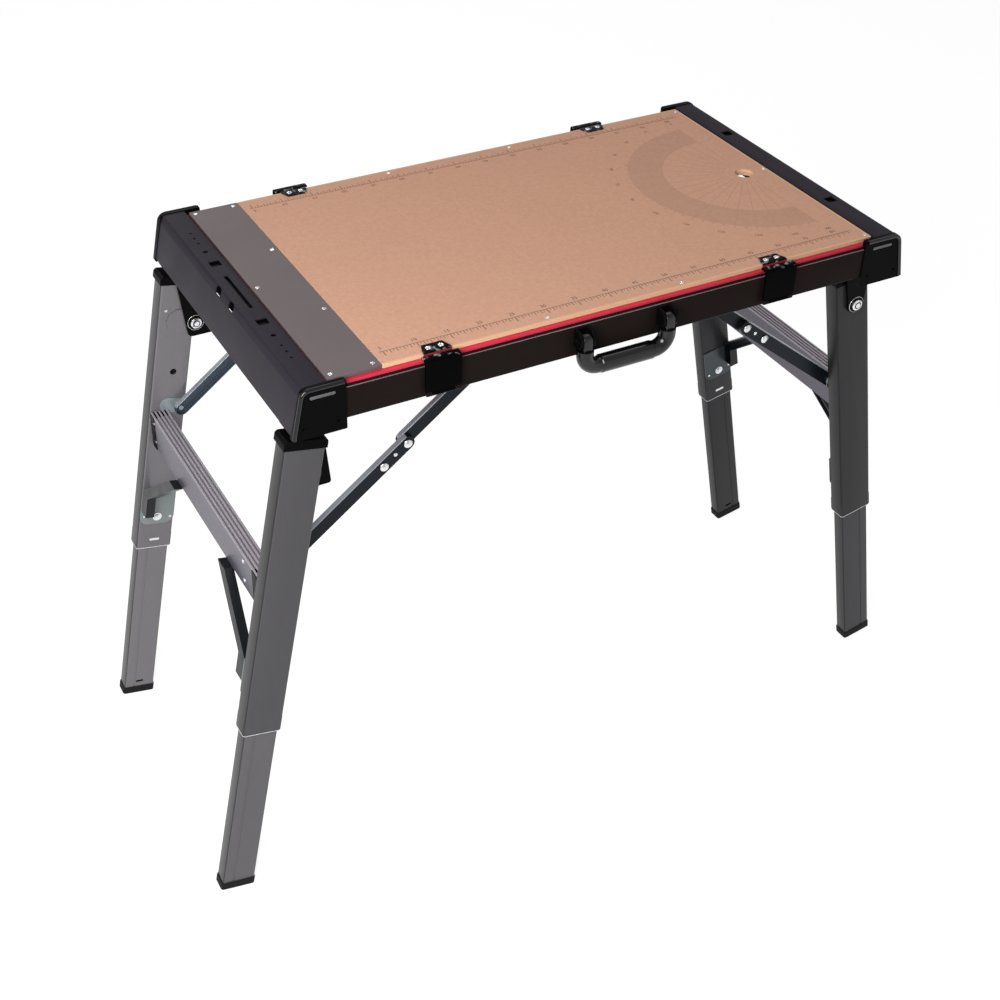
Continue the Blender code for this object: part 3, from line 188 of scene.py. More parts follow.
class Shader:
    """The nodes of one material, or of the world, in the making."""

    def __init__(self, owner: Union[bpy.types.Material, bpy.types.World],
                 surface: str = "Principled BSDF") -> None:
        """Open the owner's nodes.

        Args:
            owner: the material or the world.
            surface: name of its shader node.
        """
        owner.use_nodes = True
        self.owner = owner
        self.tree = owner.node_tree
        self.surface = self.tree.nodes[surface]

    def node(self, kind: str, settings: Optional[dict] = None, inputs: Optional[dict] = None,
             output: Union[int, str] = 0) -> Value:
        """Add a node.

        Args:
            kind: the node's type.
            settings: its attributes, set before the sockets; a ramp's stops under "stops".
            inputs: values or links of its sockets, by name or place.
            output: the socket that is returned.

        Returns:
            The chosen output as a value.
        """
        made = self.tree.nodes.new(kind)
        for name, setting in (settings or {}).items():
            if name == "stops":
                self._set_stops(made.color_ramp, setting)
            else:
                setattr(made, name, setting)
        for name, value in (inputs or {}).items():
            if isinstance(value, Value):
                self.tree.links.new(value.socket, made.inputs[name])
            else:
                made.inputs[name].default_value = value
        return Value(self, made.outputs[output])

    @staticmethod
    def _set_stops(ramp: bpy.types.ColorRamp, stops: Sequence[tuple[float, Colour]]) -> None:
        """Set a colour ramp's stops.

        Args:
            ramp: the ramp.
            stops: the place and colour of each stop.
        """
        while len(ramp.elements) < len(stops):
            ramp.elements.new(0.5)
        for element, (place, colour) in zip(ramp.elements, stops):
            element.position = place
            element.color = (*colour, 1.0)

    def set(self, **constants: Union[float, tuple[float, ...]]) -> None:
        """Set constants on the shader's own sockets; underscores stand for spaces."""
        for name, value in constants.items():
            self.surface.inputs[name.replace("_", " ")].default_value = value

    def feed(self, socket: str, value: Value) -> None:
        """Link a value to one of the shader's sockets."""
        self.tree.links.new(value.socket, self.surface.inputs[socket])

    def place(self) -> Value:
        """Object coordinates, which are metres in the table's own frame."""
        return self.node("ShaderNodeTexCoord", output="Object")

    def axes(self) -> tuple[Value, Value, Value]:
        """Object coordinates as three values.

        Returns:
            The places along X, Y and Z.
        """
        split = self.node("ShaderNodeSeparateXYZ", inputs={0: self.place()})
        outputs = split.socket.node.outputs
        return Value(self, outputs[0]), Value(self, outputs[1]), Value(self, outputs[2])

    def noise(self, size: float, detail: float = 3.0, stretch: Vec = (1.0, 1.0, 1.0)) -> Value:
        """Noise from 0 to 1.

        Args:
            size: how far its features reach, about.
            detail: number of finer layers.
            stretch: how far the features are drawn out along each axis.

        Returns:
            The noise.
        """
        scaled = self.node("ShaderNodeMapping", inputs={0: self.place(),
                                                        3: tuple(1.0 / s for s in stretch)})
        return self.node("ShaderNodeTexNoise", inputs={"Vector": scaled, "Scale": 0.5 / size,
                                                       "Detail": detail, "Roughness": 0.55})

    def rays(self) -> tuple[Value, Value]:
        """1 for camera rays, and 1 for glossy rays."""
        outputs = self.node("ShaderNodeLightPath").socket.node.outputs
        return Value(self, outputs["Is Camera Ray"]), Value(self, outputs["Is Glossy Ray"])

    def blend(self, factor: Union[Value, float], first: Union[Value, Colour],
              second: Union[Value, Colour]) -> Value:
        """Mix two colours.

        Args:
            factor: share of the second colour.
            first: the first colour.
            second: the second colour.

        Returns:
            The mixed colour.
        """
        inputs = {0: factor}
        for place, colour in ((6, first), (7, second)):
            inputs[place] = colour if isinstance(colour, Value) else (*colour, 1.0)
        return self.node("ShaderNodeMix", {"data_type": "RGBA"}, inputs, 2)

    def bump(self, height: Value, depth: float) -> None:
        """Feed a relief to the shader's normal.

        Args:
            height: the relief, from 0 to 1.
            depth: what a height of 1 stands for.
        """
        raised = self.node("ShaderNodeBump", inputs={"Strength": 1.0, "Distance": depth,
                                                     "Height": height})
        self.feed("Normal", raised)


# Finishes


@dataclass(frozen=True)
class Finish:
    """A plain finish: a base colour with mottling, a roughness that varies and a fine grain.

    Args:
        slot: the record's material slot; not used.
        colour: linear base colour.
        roughness: mean roughness.
        metallic: 0 for paint and plastic, 1 for bare metal.
        mottle: share by which the colour varies.
        patch: size of the colour's patches.
        grain: depth of the fine relief.
        grain_size: size of the relief's features.
        stretch: how far the patches and the relief are drawn out along each axis.
        specular: specular level, half for an ordinary surface.
        drift: range of the roughness.
    """

    slot: str
    colour: Colour
    roughness: float
    metallic: float = 0.0
    mottle: float = 0.12
    patch: float = 0.06
    grain: float = 0.00002
    grain_size: float = 0.0008
    stretch: Vec = (1.0, 1.0, 1.0)
    specular: float = 0.5
    drift: float = 0.14

    def material(self, name: str) -> bpy.types.Material:
        """Make the finish as a node material.

        Args:
            name: the material's name.

        Returns:
            The material.
        """
        shader = Shader(bpy.data.materials.new(name))
        shader.feed("Base Color", self.tint(shader))
        shader.feed("Roughness", self.gloss(shader))
        self.relief(shader)
        shader.set(Metallic=self.metallic, Specular_IOR_Level=self.specular)
        return shader.owner

    def mottled(self, shader: Shader) -> Value:
        """The base colour with soft patches and fine specks.

        Args:
            shader: the material in the making.

        Returns:
            The mottled colour.
        """
        patches = shader.noise(self.patch, 4.0, self.stretch)
        specks = shader.noise(self.grain_size * 2.0, 2.0, self.stretch)
        dark = tuple(c * (1.0 - self.mottle) for c in self.colour)
        light = tuple(min(1.0, c * (1.0 + self.mottle)) for c in self.colour)
        ramp = {"stops": [(0.3, dark), (0.7, light)]}
        return shader.node("ShaderNodeValToRGB", ramp, {0: patches * 0.75 + specks * 0.25})

    def tint(self, shader: Shader) -> Value:
        """The colour that the surface shows."""
        return self.mottled(shader)

    def gloss(self, shader: Shader) -> Value:
        """Roughness that drifts in patches."""
        patches = shader.noise(self.patch * 0.6, 3.0, self.stretch)
        return patches * self.drift + (self.roughness - self.drift / 2)

    def relief(self, shader: Shader) -> None:
        """Feed the fine relief."""
        shader.bump(shader.noise(self.grain_size, 2.0, self.stretch), self.grain)


@dataclass(frozen=True)
class Hammered(Finish):
    """Paint that dries into small round dimples.

    Args:
        dimple: distance between the dimples.
    """

    dimple: float = 0.0024

    def relief(self, shader: Shader) -> None:
        """Round cells with a little noise between them.

        Args:
            shader: the material in the making.
        """
        cells = shader.node("ShaderNodeTexVoronoi", {"feature": "SMOOTH_F1"},
                            {"Vector": shader.place(), "Scale": 1.0 / self.dimple})
        shader.bump(cells + shader.noise(self.dimple, 2.0) * 0.5, self.grain)


@dataclass(frozen=True)
class Zinc(Finish):
    """Zinc plating: bluish and greenish patches with a faint spangle.

    Args:
        tinted: colour of the bluish patches.
        spangles: number of spangles in a metre.
        spangled: how strongly the spangles show.
        drift: range of the roughness.
    """

    tinted: Colour = (0.20, 0.27, 0.34)
    spangles: float = 260.0
    spangled: float = 0.3
    drift: float = 0.2

    def mottled(self, shader: Shader) -> Value:
        """Mix the plain zinc colour and its bluish tint by broad patches and fine spangles.

        A spangle's random colour counts by its brightness.

        Args:
            shader: the material in the making.

        Returns:
            The mottled colour.
        """
        spangle = shader.node("ShaderNodeTexVoronoi", {"feature": "F1"},
                              {"Vector": shader.place(), "Scale": self.spangles}, "Color")
        base = shader.blend(shader.noise(0.045), self.colour, self.tinted)
        return shader.blend(spangle * self.spangled, base, self.tinted)

    def gloss(self, shader: Shader) -> Value:
        """Roughness that changes from one small patch to the next."""
        return shader.noise(0.012) * self.drift + (self.roughness - self.drift / 2)


@dataclass(frozen=True)
class RubbedSteel(Finish):
    """Black paint that is rubbed to bare steel above a height.

    Args:
        above: the height where the rubbing starts.
        bare: colour of the bare steel.
        worn: how far the bare steel shows in the patches.
    """

    above: float = 0.8982
    bare: Colour = (0.45, 0.46, 0.46)
    worn: float = 0.55

    def tint(self, shader: Shader) -> Value:
        """Paint, with broken bright patches along the upper edges.

        Args:
            shader: the material in the making.

        Returns:
            The colour that the surface shows.
        """
        _, _, z = shader.axes()
        patches = ((shader.noise(0.005) - 0.55) * 9.0).clamped()
        return shader.blend((z > self.above) * patches * self.worn, self.mottled(shader), self.bare)


@dataclass(frozen=True)
class Keeper(RubbedSteel):
    """Rubbed steel whose lip below the board's face takes the red of the panel.

    Args:
        lip: distance of the board's edges from the middle plane.
        below: height under which the lip is red.
        red: the red that it takes.
    """

    lip: float = 0.2622
    below: float = 0.9000
    red: Colour = (0.26, 0.020, 0.035)

    def tint(self, shader: Shader) -> Value:
        """Black and rubbed above, red on the lip.

        Args:
            shader: the material in the making.

        Returns:
            The colour that the surface shows.
        """
        _, y, z = shader.axes()
        lip = (abs(y - MIDDLE_Y) > self.lip).both(z < self.below)
        return shader.blend(lip, super().tint(shader), self.red)


@dataclass(frozen=True)
class StayZinc(Zinc):
    """Dark zinc, with a painted highlight along the upper edge of the links.

    Args:
        pivot: the lower link's pivot, along the table and up.
        upward: direction across the links in their plane, upward.
        half: half the links' width.
        lit: width of the painted highlight.
        bright: the painted highlight's colour.
        shine: how far that colour shows.
    """

    pivot: tuple[float, float] = (0.0, 0.0)
    upward: tuple[float, float] = (0.0, 1.0)
    half: float = 0.011
    lit: float = 0.0016
    bright: Colour = (0.42, 0.45, 0.50)
    shine: float = 0.8

    def tint(self, shader: Shader) -> Value:
        """Zinc, and the painted highlight along the upper edge.

        Args:
            shader: the material in the making.

        Returns:
            The colour that the surface shows.
        """
        x, _, z = shader.axes()
        across = (x - self.pivot[0]) * self.upward[0] + (z - self.pivot[1]) * self.upward[1]
        # Painted highlight: a light band along the links' upper edge
        edge = across > self.half - self.lit
        return shader.blend(edge * self.shine, self.mottled(shader), self.bright)


@dataclass(frozen=True)
class BraceZinc(Zinc):
    """Zinc on the plates, dark on the bars that stand off the leg.

    Args:
        face: distance of the plates' inner faces from the middle plane.
        bar: colour of the painted shade on the bars.
        dulled: share of the metal's look that the bars lose, for the same painted shade.
    """

    face: float = 0.226
    bar: Colour = (0.008, 0.009, 0.011)
    dulled: float = 0.9

    def tint(self, shader: Shader) -> Value:
        """Plate colour near the leg, and painted shade on the bars away from it.

        Args:
            shader: the material in the making.

        Returns:
            The colour that the surface shows.
        """
        _, y, _ = shader.axes()
        # Painted shade: the bars away from the leg's face take a near-black, less metallic colour
        off = abs(y - MIDDLE_Y) < self.face
        shader.feed("Metallic", (1.0 - off * self.dulled) * self.metallic)
        return shader.blend(off, self.mottled(shader), self.bar)


@dataclass(frozen=True)
class RedPanel(Finish):
    """Red laminate, with bare fibreboard inside the peg hole.

    Args:
        hole: middle of the peg hole.
        radius: where the laminate starts.
        bare: colour of the hole's wall.
    """

    hole: tuple[float, float] = PEG_HOLE
    radius: float = 0.0156
    bare: Colour = (0.75, 0.42, 0.25)

    def tint(self, shader: Shader) -> Value:
        """Red, and tan on the hole's wall.

        Args:
            shader: the material in the making.

        Returns:
            The colour that the surface shows.
        """
        x, y, _ = shader.axes()
        away = ((x - self.hole[0]) ** 2 + (y - self.hole[1]) ** 2) ** 0.5
        return shader.blend(away < self.radius, self.mottled(shader), self.bare)


@dataclass(frozen=True)
class TubePaint(Finish):
    """Paint of a leg's tube, with painted shade on the tube's narrow sides.

    Args:
        axis: the tube's direction, upward.
        middle: where the tube's middle line lies across the leg, in the plane of the table's length.
        half: half the tube's width.
        narrow: share of the colour that the narrow sides keep, as painted shade.
        skin: depth in the tube's width that counts as its narrow side.
    """

    axis: Vec = (0.0, 0.0, 1.0)
    middle: float = 0.0
    half: float = 0.030
    narrow: float = 0.5
    skin: float = 0.0014

    def tint(self, shader: Shader) -> Value:
        """Paint, with painted shade on the narrow sides.

        Args:
            shader: the material in the making.

        Returns:
            The colour that the surface shows.
        """
        x, _, z = shader.axes()
        across = x * self.axis[2] - z * self.axis[0] - self.middle
        # Painted shade: the narrow sides take a darker copy of the colour
        side = tuple(c * self.narrow for c in self.colour)
        return shader.blend(abs(across) > self.half - self.skin, self.mottled(shader), side)


@dataclass(frozen=True)
class CutTube(TubePaint):
    """Paint of a leg's upper tube, with its bare cut end and its plated stay bracket.

    Args:
        cut: where the cut lies along the axis.
        rim: height of the bright edge.
        bracket: middle of the stay's bracket, along the table and up.
        reach: the bracket's reach from there.
        inner_face: distance of the tube's inner face from the middle plane.
        stands_off: how far past that face a point counts as bracket.
        plating: the bracket's colour.
        metal: colour of the bright edge.
    """

    cut: float = 0.0
    rim: float = 0.0013
    bracket: tuple[float, float] = (0.0, 0.0)
    reach: float = 0.045
    inner_face: float = 0.2
    stands_off: float = 0.0004
    plating: Colour = (0.25, 0.30, 0.32)
    metal: Colour = (0.72, 0.72, 0.74)

    def tint(self, shader: Shader) -> Value:
        """Paint, plating on the bracket, and bright metal in the first millimetre above the cut.

        Args:
            shader: the material in the making.

        Returns:
            The colour that the surface shows.
        """
        x, y, z = shader.axes()
        away = ((x - self.bracket[0]) ** 2 + (z - self.bracket[1]) ** 2) ** 0.5
        plated = (away < self.reach).both(abs(y - MIDDLE_Y) < self.inner_face - self.stands_off)
        painted = shader.blend(plated, super().tint(shader), self.plating)
        along = x * self.axis[0] + z * self.axis[2]
        return shader.blend(along < self.cut + self.rim, painted, self.metal)


@dataclass(frozen=True)
class Ribbed(Finish):
    """Extruded tread: pale ridges, dark grooves and a dull side.

    Args:
        top: height of the ridges.
        ridge: depth of the pale ridge tops.
        groove: depth of the grooves below the ridges.
        side: colour of the painted shade on the sides.
        dirty: share of the colour that the grooves keep, as painted shade.
    """

    top: float = 0.585
    ridge: float = 0.0009
    groove: float = 0.0022
    side: Colour = (0.13, 0.12, 0.15)
    dirty: float = 0.45

    def tint(self, shader: Shader) -> Value:
        """Painted shade on the sides below and in the grooves, pale metal on the ridges.

        Args:
            shader: the material in the making.

        Returns:
            The colour that the surface shows.
        """
        _, _, z = shader.axes()
        # Painted shade: the grooves and the sides below the ridges are darker
        ridges = z > self.top - self.ridge
        grooves = z > self.top - self.groove
        groove_shade_colour = tuple(c * self.dirty for c in self.colour)
        return shader.blend(ridges, shader.blend(grooves, self.side, groove_shade_colour), self.mottled(shader))


@dataclass(frozen=True)
class RolledRail(Finish):
    """Rail paint, rubbed bright along the rolled top edge.

    Args:
        top: height of the rail's top.
        line: height of the painted highlight.
        above: height of the dark roll above the line.
        bright: the painted highlight's colour.
    """

    top: float = 0.889
    line: float = 0.0010
    above: float = 0.0006
    bright: Colour = (0.26, 0.21, 0.21)

    def tint(self, shader: Shader) -> Value:
        """The paint, with the painted highlight broken a little along its length.

        Args:
            shader: the material in the making.

        Returns:
            The colour that the surface shows.
        """
        _, _, z = shader.axes()
        # Painted highlight: a light band just under the rail's top, where the rolled edge catches the light
        band = (z > self.top - self.above - self.line).both(z < self.top - self.above)
        line = band * (shader.noise(0.02, 2.0, (4.0, 1.0, 1.0)) * 0.6 + 0.3)
        return shader.blend(line.clamped(), self.mottled(shader), self.bright)


@dataclass(frozen=True)
class PrintedBoard(Finish):
    """Fibreboard with printed scales along both long edges and a printed protractor.

    Args:
        half_width: the board's half width.
        start: where the scales start along X.
        end: where they end.
        baseline: distance of a scale's long line from the board's edge.
        centre: the protractor's centre.
        ring: the protractor band's two radii.
        ink: the printed colour.
        cut: colour of the sawn edge.
        line: half the width of a scale's long line.
        ticks: pitch, length and half width of each kind of tick.
        ray_step: degrees between the protractor's rays.
        ray: half a ray's width.
        ray_start: the rays' distance from the centre.
        tick_step: degrees between the ticks outside the band.
        tick: half such a tick's width, and its length.
        strengths: how strongly the band, the rays and the ticks are printed.
        reach: how far the protractor goes past its centre.
        prints: how strongly the front scale and the back one are printed.
        contrast: share by which the fibres are darker or lighter than the colour.
        faded: share of the colour that the broad dull patches keep.
        end_x: the board's right end.
        rounding: how far from an edge the sawn colour starts.
        face_depth: depth of the printed face.
        edge_depth: depth where the sawn edge starts.
    """

    half_width: float = float(BOARD_HIGH[1] - BOARD_LOW[1]) / 2
    start: float = -0.355
    end: float = 0.425
    baseline: float = 0.030
    centre: tuple[float, float] = PEG_HOLE
    ring: tuple[float, float] = (0.130, 0.186)
    ink: Colour = (0.17, 0.105, 0.075)
    cut: Colour = (0.68, 0.42, 0.26)
    line: float = 0.0008
    ticks: tuple[Vec, ...] = ((0.005, 0.0050, 0.0007), (0.010, 0.0080, 0.0008), (0.050, 0.0115, 0.0010))
    ray_step: float = 10.0
    ray: float = 0.0004
    ray_start: float = 0.030
    tick_step: float = 5.0
    tick: tuple[float, float] = (0.0003, 0.006)
    strengths: Vec = (0.20, 0.35, 0.8)
    reach: float = 0.0005
    prints: tuple[float, float] = (0.80, 0.75)
    contrast: float = 0.07
    faded: float = 0.88
    end_x: float = float(BOARD_HIGH[0])
    rounding: float = 0.0035
    face_depth: float = 0.0004
    edge_depth: float = 0.0006

    def fibres(self, shader: Shader) -> Value:
        """Fine dark and light fibres, pressed flat in every direction.

        Args:
            shader: the material in the making.

        Returns:
            The fibres' shade, from 0 to 1.
        """
        long = shader.noise(0.0016, 4.0, (3.0, 1.0, 1.0))
        cross = shader.noise(0.0016, 4.0, (1.0, 3.0, 1.0))
        return (long + cross) * 0.5

    def scale(self, x: Value, inset: Value) -> Value:
        """One scale's ink: a long line, and ticks at 5, 10 and 50 mm towards the board's edge.

        Args:
            x: place along the table.
            inset: distance from the board's edge.

        Returns:
            1 where there is ink.
        """
        depth = self.baseline - inset
        ink = abs(depth) < self.line
        for pitch, length, half in self.ticks:
            ink = ink.either((x.off_multiple(pitch) < half).both((depth > 0.0).both(depth < length)))
        return ink.both((x > self.start).both(x < self.end))

    def protractor(self, x: Value, y: Value) -> Value:
        """The protractor's ink: a pale band, rays inside its rim, and shorter ticks outside it.

        Args:
            x: place along the table.
            y: place across it.

        Returns:
            The ink's strength.
        """
        across, along = x - self.centre[0], y - self.centre[1]
        radius = (across ** 2 + along ** 2) ** 0.5
        turn = along.maths("ARCTAN2", across)
        inner, outer = self.ring
        faint, middling, strong = self.strengths
        half, length = self.tick
        band = (radius > inner).both(radius < outer) * faint
        rays = (turn.off_multiple(math.radians(self.ray_step)) * radius < self.ray).both(
            (radius > self.ray_start).both(radius < outer)) * middling
        ticks = (turn.off_multiple(math.radians(self.tick_step)) * radius < half).both(
            (radius > outer).both(radius < outer + length)) * strong
        return band.either(rays).either(ticks).both(across < self.reach)

    def tint(self, shader: Shader) -> Value:
        """Fibres, ink on the face, and the paler sawn edge.

        Args:
            shader: the material in the making.

        Returns:
            The colour that the surface shows.
        """
        x, y, z = shader.axes()
        fibres = self.fibres(shader)
        dark, light, dull = (tuple(c * share for c in self.colour)
                             for share in (1.0 - self.contrast, 1.0 + self.contrast, self.faded))
        fine = shader.node("ShaderNodeValToRGB", {"stops": [(0.38, dark), (0.62, light)]}, {0: fibres})
        broad = shader.blend(shader.noise(0.10) * 0.5, fine, dull)
        beside = y - MIDDLE_Y
        front, back = self.prints
        ink = self.scale(x, beside + self.half_width) * front
        ink = ink.either(self.scale(x, self.half_width - beside) * back)
        ink = ink.either(self.protractor(x, y))
        ink = ink * (shader.noise(0.004, 2.0) * 0.5 + 0.7)
        face = shader.blend((ink * (z > DECK_TOP - self.face_depth)).clamped(), broad, self.ink)
        rounded = (abs(beside) > self.half_width - self.rounding).either(x > self.end_x - self.rounding)
        edge = (z < DECK_TOP - self.edge_depth).either(rounded * 0.8)
        return shader.blend(edge, face, self.cut)

    def relief(self, shader: Shader) -> None:
        """A faint fibrous tooth."""
        shader.bump(self.fibres(shader), self.grain)


@dataclass(frozen=True)
class LegLine:
    """Where the legs of one side stand.

    Args:
        side: the leg frame.
        splay: lean in degrees.
        foot_x: distance of the foot's middle from the table's middle.
        foot_z: its height.
        inner_face: distance of the tubes' inner faces from the middle plane.
        pivot: the pivot bolts' distance from the table's middle, and their height.
        shown: length of a leg below the cut of its upper tube.
    """

    side: Side
    splay: float
    foot_x: float
    foot_z: float
    inner_face: float
    pivot: tuple[float, float]
    shown: float = 0.317

    @property
    def axis(self) -> Vec:
        """Upward direction of the legs."""
        lean = math.radians(self.splay)
        return (-self.side.value * math.sin(lean), 0.0, math.cos(lean))

    @property
    def cut(self) -> float:
        """Where the upper tubes' lower ends lie along the axis."""
        axis = self.axis
        return self.side.value * self.foot_x * axis[0] + self.foot_z * axis[2] + self.shown

    @property
    def middle(self) -> float:
        """Where the tubes' middle line lies across the axis, in the plane of the table's length."""
        axis = self.axis
        return self.side.value * self.foot_x * axis[2] - self.foot_z * axis[0]

    def point(self, up: float, outboard: float, beyond: float, row: Row) -> np.ndarray:
        """A point on a leg.

        Args:
            up: distance along the leg from the foot's middle.
            outboard: distance from the leg's middle line, away from the table.
            beyond: distance past the inner face, towards the table's middle plane.
            row: front or back.

        Returns:
            The point in the table's frame.
        """
        axis = np.array(self.axis)
        out = np.array((axis[2], 0.0, -axis[0])) * self.side.value
        base = np.array((self.side.value * self.foot_x, 0.0, self.foot_z))
        place = base + axis * up + out * outboard
        place[1] = MIDDLE_Y + row.value * (self.inner_face - beyond)
        return place


LEG_LINES = {
    Side.LEFT: LegLine(Side.LEFT, splay=10.7, foot_x=0.62821, foot_z=0.00520, inner_face=0.2297,
                       pivot=(0.460352, 0.732)),
    Side.RIGHT: LegLine(Side.RIGHT, splay=11.9, foot_x=0.62810, foot_z=0.00577, inner_face=0.1892,
                        pivot=(0.469369, 0.759)),
}

# The grey of the legs and the zinc of the stays, and how light or dark each leg and stay takes it, as
# painted light and shade

GREY = (0.120, 0.115, 0.124)
TUBE = {"metallic": 0.3, "mottle": 0.08, "stretch": (1.0, 1.0, 6.0)}
# Painted shade: the right tubes take a lower specular level, so that they look darker
TUBE_SPECULAR = {Side.LEFT: 0.4, Side.RIGHT: 0.2}
# Painted shade: share of the colour that the tubes' narrow sides keep, by side
NARROW_SIDES = {Side.LEFT: 0.30, Side.RIGHT: 0.5}
LOWER_HALF_WIDTH = 0.0265
# Painted light and shade: how light or dark each leg's upper and lower tube takes the grey
UPPER_AND_LOWER_PAINTED_LIGHT = {
    (Row.FRONT, Side.LEFT): (0.60, 1.05),
    (Row.BACK, Side.LEFT): (1.50, 1.65),
    (Row.FRONT, Side.RIGHT): (0.28, 0.50),
    (Row.BACK, Side.RIGHT): (0.43, 0.33),
}
STAY_COLOURS = ((0.026, 0.030, 0.036), (0.011, 0.016, 0.024))
# Painted light and shade: how light or dark each stay takes the zinc
STAY_PAINTED_LIGHT = {
    (Row.FRONT, Side.LEFT): 0.6,
    (Row.BACK, Side.LEFT): 3.2,
    (Row.FRONT, Side.RIGHT): 0.6,
    (Row.BACK, Side.RIGHT): 1.0,
}
BRACE = {"roughness": 0.36, "metallic": 0.4, "specular": 0.3}
FINISHES = {
    "fibreboard": PrintedBoard("fibreboard", (0.60, 0.330, 0.222), 0.72, grain=0.00003, specular=0.3),
    "print_ink": Finish("fibreboard", (0.10, 0.06, 0.045), 0.75, mottle=0.2, patch=0.004),
    "steel_plate": Finish("steel_plate", (0.135, 0.108, 0.112), 0.45, 0.2, mottle=0.05,
                          grain_size=0.0004, specular=0.25),
    "red_panel": RedPanel("red_panel", (0.56, 0.026, 0.056), 0.45, mottle=0.08, patch=0.03, specular=0.3),
    "bronze_paint": RolledRail("bronze_paint", (0.0110, 0.0072, 0.0062), 0.42, specular=0.04),
    "hammered_paint": Hammered("hammered_paint", (0.020, 0.016, 0.024), 0.42, 0.0, grain=0.00008,
                               specular=0.07),
    "black_plastic": Finish("black_plastic", (0.0022, 0.0022, 0.0024), 0.30, grain=0.00003,
                            grain_size=0.0006, specular=0.03),
    "handle_plastic": Finish("handle_plastic", (0.002, 0.002, 0.002), 0.17, mottle=0.2, grain=0.00001,
                             specular=0.45),
    "black_steel": Finish("black_steel", (0.002, 0.002, 0.002), 0.33, specular=0.04),
    "keeper_steel": Keeper("black_steel", (0.0012, 0.0012, 0.0013), 0.28, specular=0.05),
    "clip_steel": RubbedSteel("black_steel", (0.0012, 0.0012, 0.0013), 0.28, specular=0.02),
    # Painted light and shade: the left braces take a lighter zinc than the right ones
    "brace_zinc_left": BraceZinc("zinc", (0.30, 0.330, 0.315), face=0.2272, tinted=(0.20, 0.24, 0.24),
                                 **BRACE),
    "brace_zinc_right": BraceZinc("zinc", (0.10, 0.11, 0.115), face=0.1867,
                                  tinted=(0.05, 0.065, 0.075), **BRACE),
    "bright_zinc": Finish("zinc", (0.74, 0.75, 0.76), 0.22, 1.0, mottle=0.08, patch=0.004),
    "ribbed": Ribbed("ribbed_aluminium", (0.48, 0.45, 0.50), 0.38, 0.5, stretch=(1.0, 40.0, 1.0)),
    "black_rubber": Finish("black_rubber", (0.008, 0.008, 0.008), 0.75, grain=0.00006,
                           grain_size=0.0012, specular=0.2),
    "light_bar": Finish("black_plastic", (0.10, 0.10, 0.105), 0.35, grain=0.00002),
}


def stay_pivots(end: str) -> tuple[np.ndarray, np.ndarray]:
    """The pivots of a stay's lower and upper links.

    Args:
        end: row and side in the nodes' names.

    Returns:
        The two points in the table's frame.
    """
    joints = {joint["child"]: joint for joint in frame["record"]["behaviour"]["joints"]}
    lower, upper = (np.array(joints[f"{part}_link_{end}"]["pos_m"]) for part in ("lower", "upper"))
    return lower, upper


def add_leg_finishes() -> None:
    """Add the finishes of each leg's tubes and stay, each a little lighter or darker than the others as
    painted light and shade.
    """
    for (row, side), shades in UPPER_AND_LOWER_PAINTED_LIGHT.items():
        line = LEG_LINES[side]
        end = f"{row.word}_{side.word}"
        low, high = (pivot[[0, 2]] for pivot in stay_pivots(end))
        along = unit(high - low)
        upward = np.array((-along[1], along[0])) * np.sign(along[0])
        plain, tinted = (tuple(c * STAY_PAINTED_LIGHT[row, side] for c in colour) for colour in STAY_COLOURS)
        FINISHES[f"stay_{end}"] = StayZinc("zinc", plain, 0.36, 0.5, specular=0.2, tinted=tinted,
                                           pivot=tuple(low), upward=tuple(upward))
        upper, lower = (tuple(c * shade for c in GREY) for shade in shades)
        tube_paint = {**TUBE, "axis": line.axis, "middle": line.middle, "narrow": NARROW_SIDES[side],
                      "specular": TUBE_SPECULAR[side]}
        FINISHES[f"upper_{end}"] = CutTube("grey_paint", upper, 0.38, cut=line.cut,
                                           bracket=tuple(low), inner_face=line.inner_face,
                                           **tube_paint)
        FINISHES[f"lower_{end}"] = TubePaint("grey_paint", lower, 0.36, half=LOWER_HALF_WIDTH,
                                             **tube_paint)


class Palette:
    """The materials, each made once.

    Attributes:
        made: the materials by their finishes' names.
    """

    made: dict[str, bpy.types.Material] = {}

    @classmethod
    def give(cls, piece: bpy.types.Object, finish: str) -> None:
        """Put a finish on a piece.

        Args:
            piece: the piece.
            finish: the finish's name.
        """
        if finish not in cls.made:
            cls.made[finish] = FINISHES[finish].material(finish)
        piece.data.materials.clear()
        piece.data.materials.append(cls.made[finish])


# Surfaces


def unit(vector: Sequence[float]) -> np.ndarray:
    """A vector's direction, as a unit vector."""
    return np.asarray(vector, float) / np.linalg.norm(vector)


def set_up(first: Sequence[float], second: Sequence[float], third: Sequence[float],
           place: Sequence[float]) -> np.ndarray:
    """Matrix that carries the local axes to three directions at a place.

    Args:
        first: direction of local X.
        second: direction of local Y.
        third: direction of local Z.
        place: where the origin goes.

    Returns:
        A 4 by 4 matrix.
    """
    matrix = np.eye(4)
    matrix[:3] = np.stack((first, second, third, place), axis=1)
    return matrix


def turned_to(place: Sequence[float], normal: Sequence[float], spin: float = 0.0) -> np.ndarray:
    """Matrix that carries local Z to a normal at a place.

    Args:
        place: where the origin goes.
        normal: direction of local Z.
        spin: turn about that direction, in degrees.

    Returns:
        A 4 by 4 matrix.
    """
    axis = unit(normal)
    guide = (1.0, 0.0, 0.0) if abs(axis[0]) < 0.9 else (0.0, 1.0, 0.0)
    first = unit(np.cross(guide, axis))
    second = np.cross(axis, first)
    cos, sin = math.cos(math.radians(spin)), math.sin(math.radians(spin))
    return set_up(first * cos + second * sin, second * cos - first * sin, axis, place)


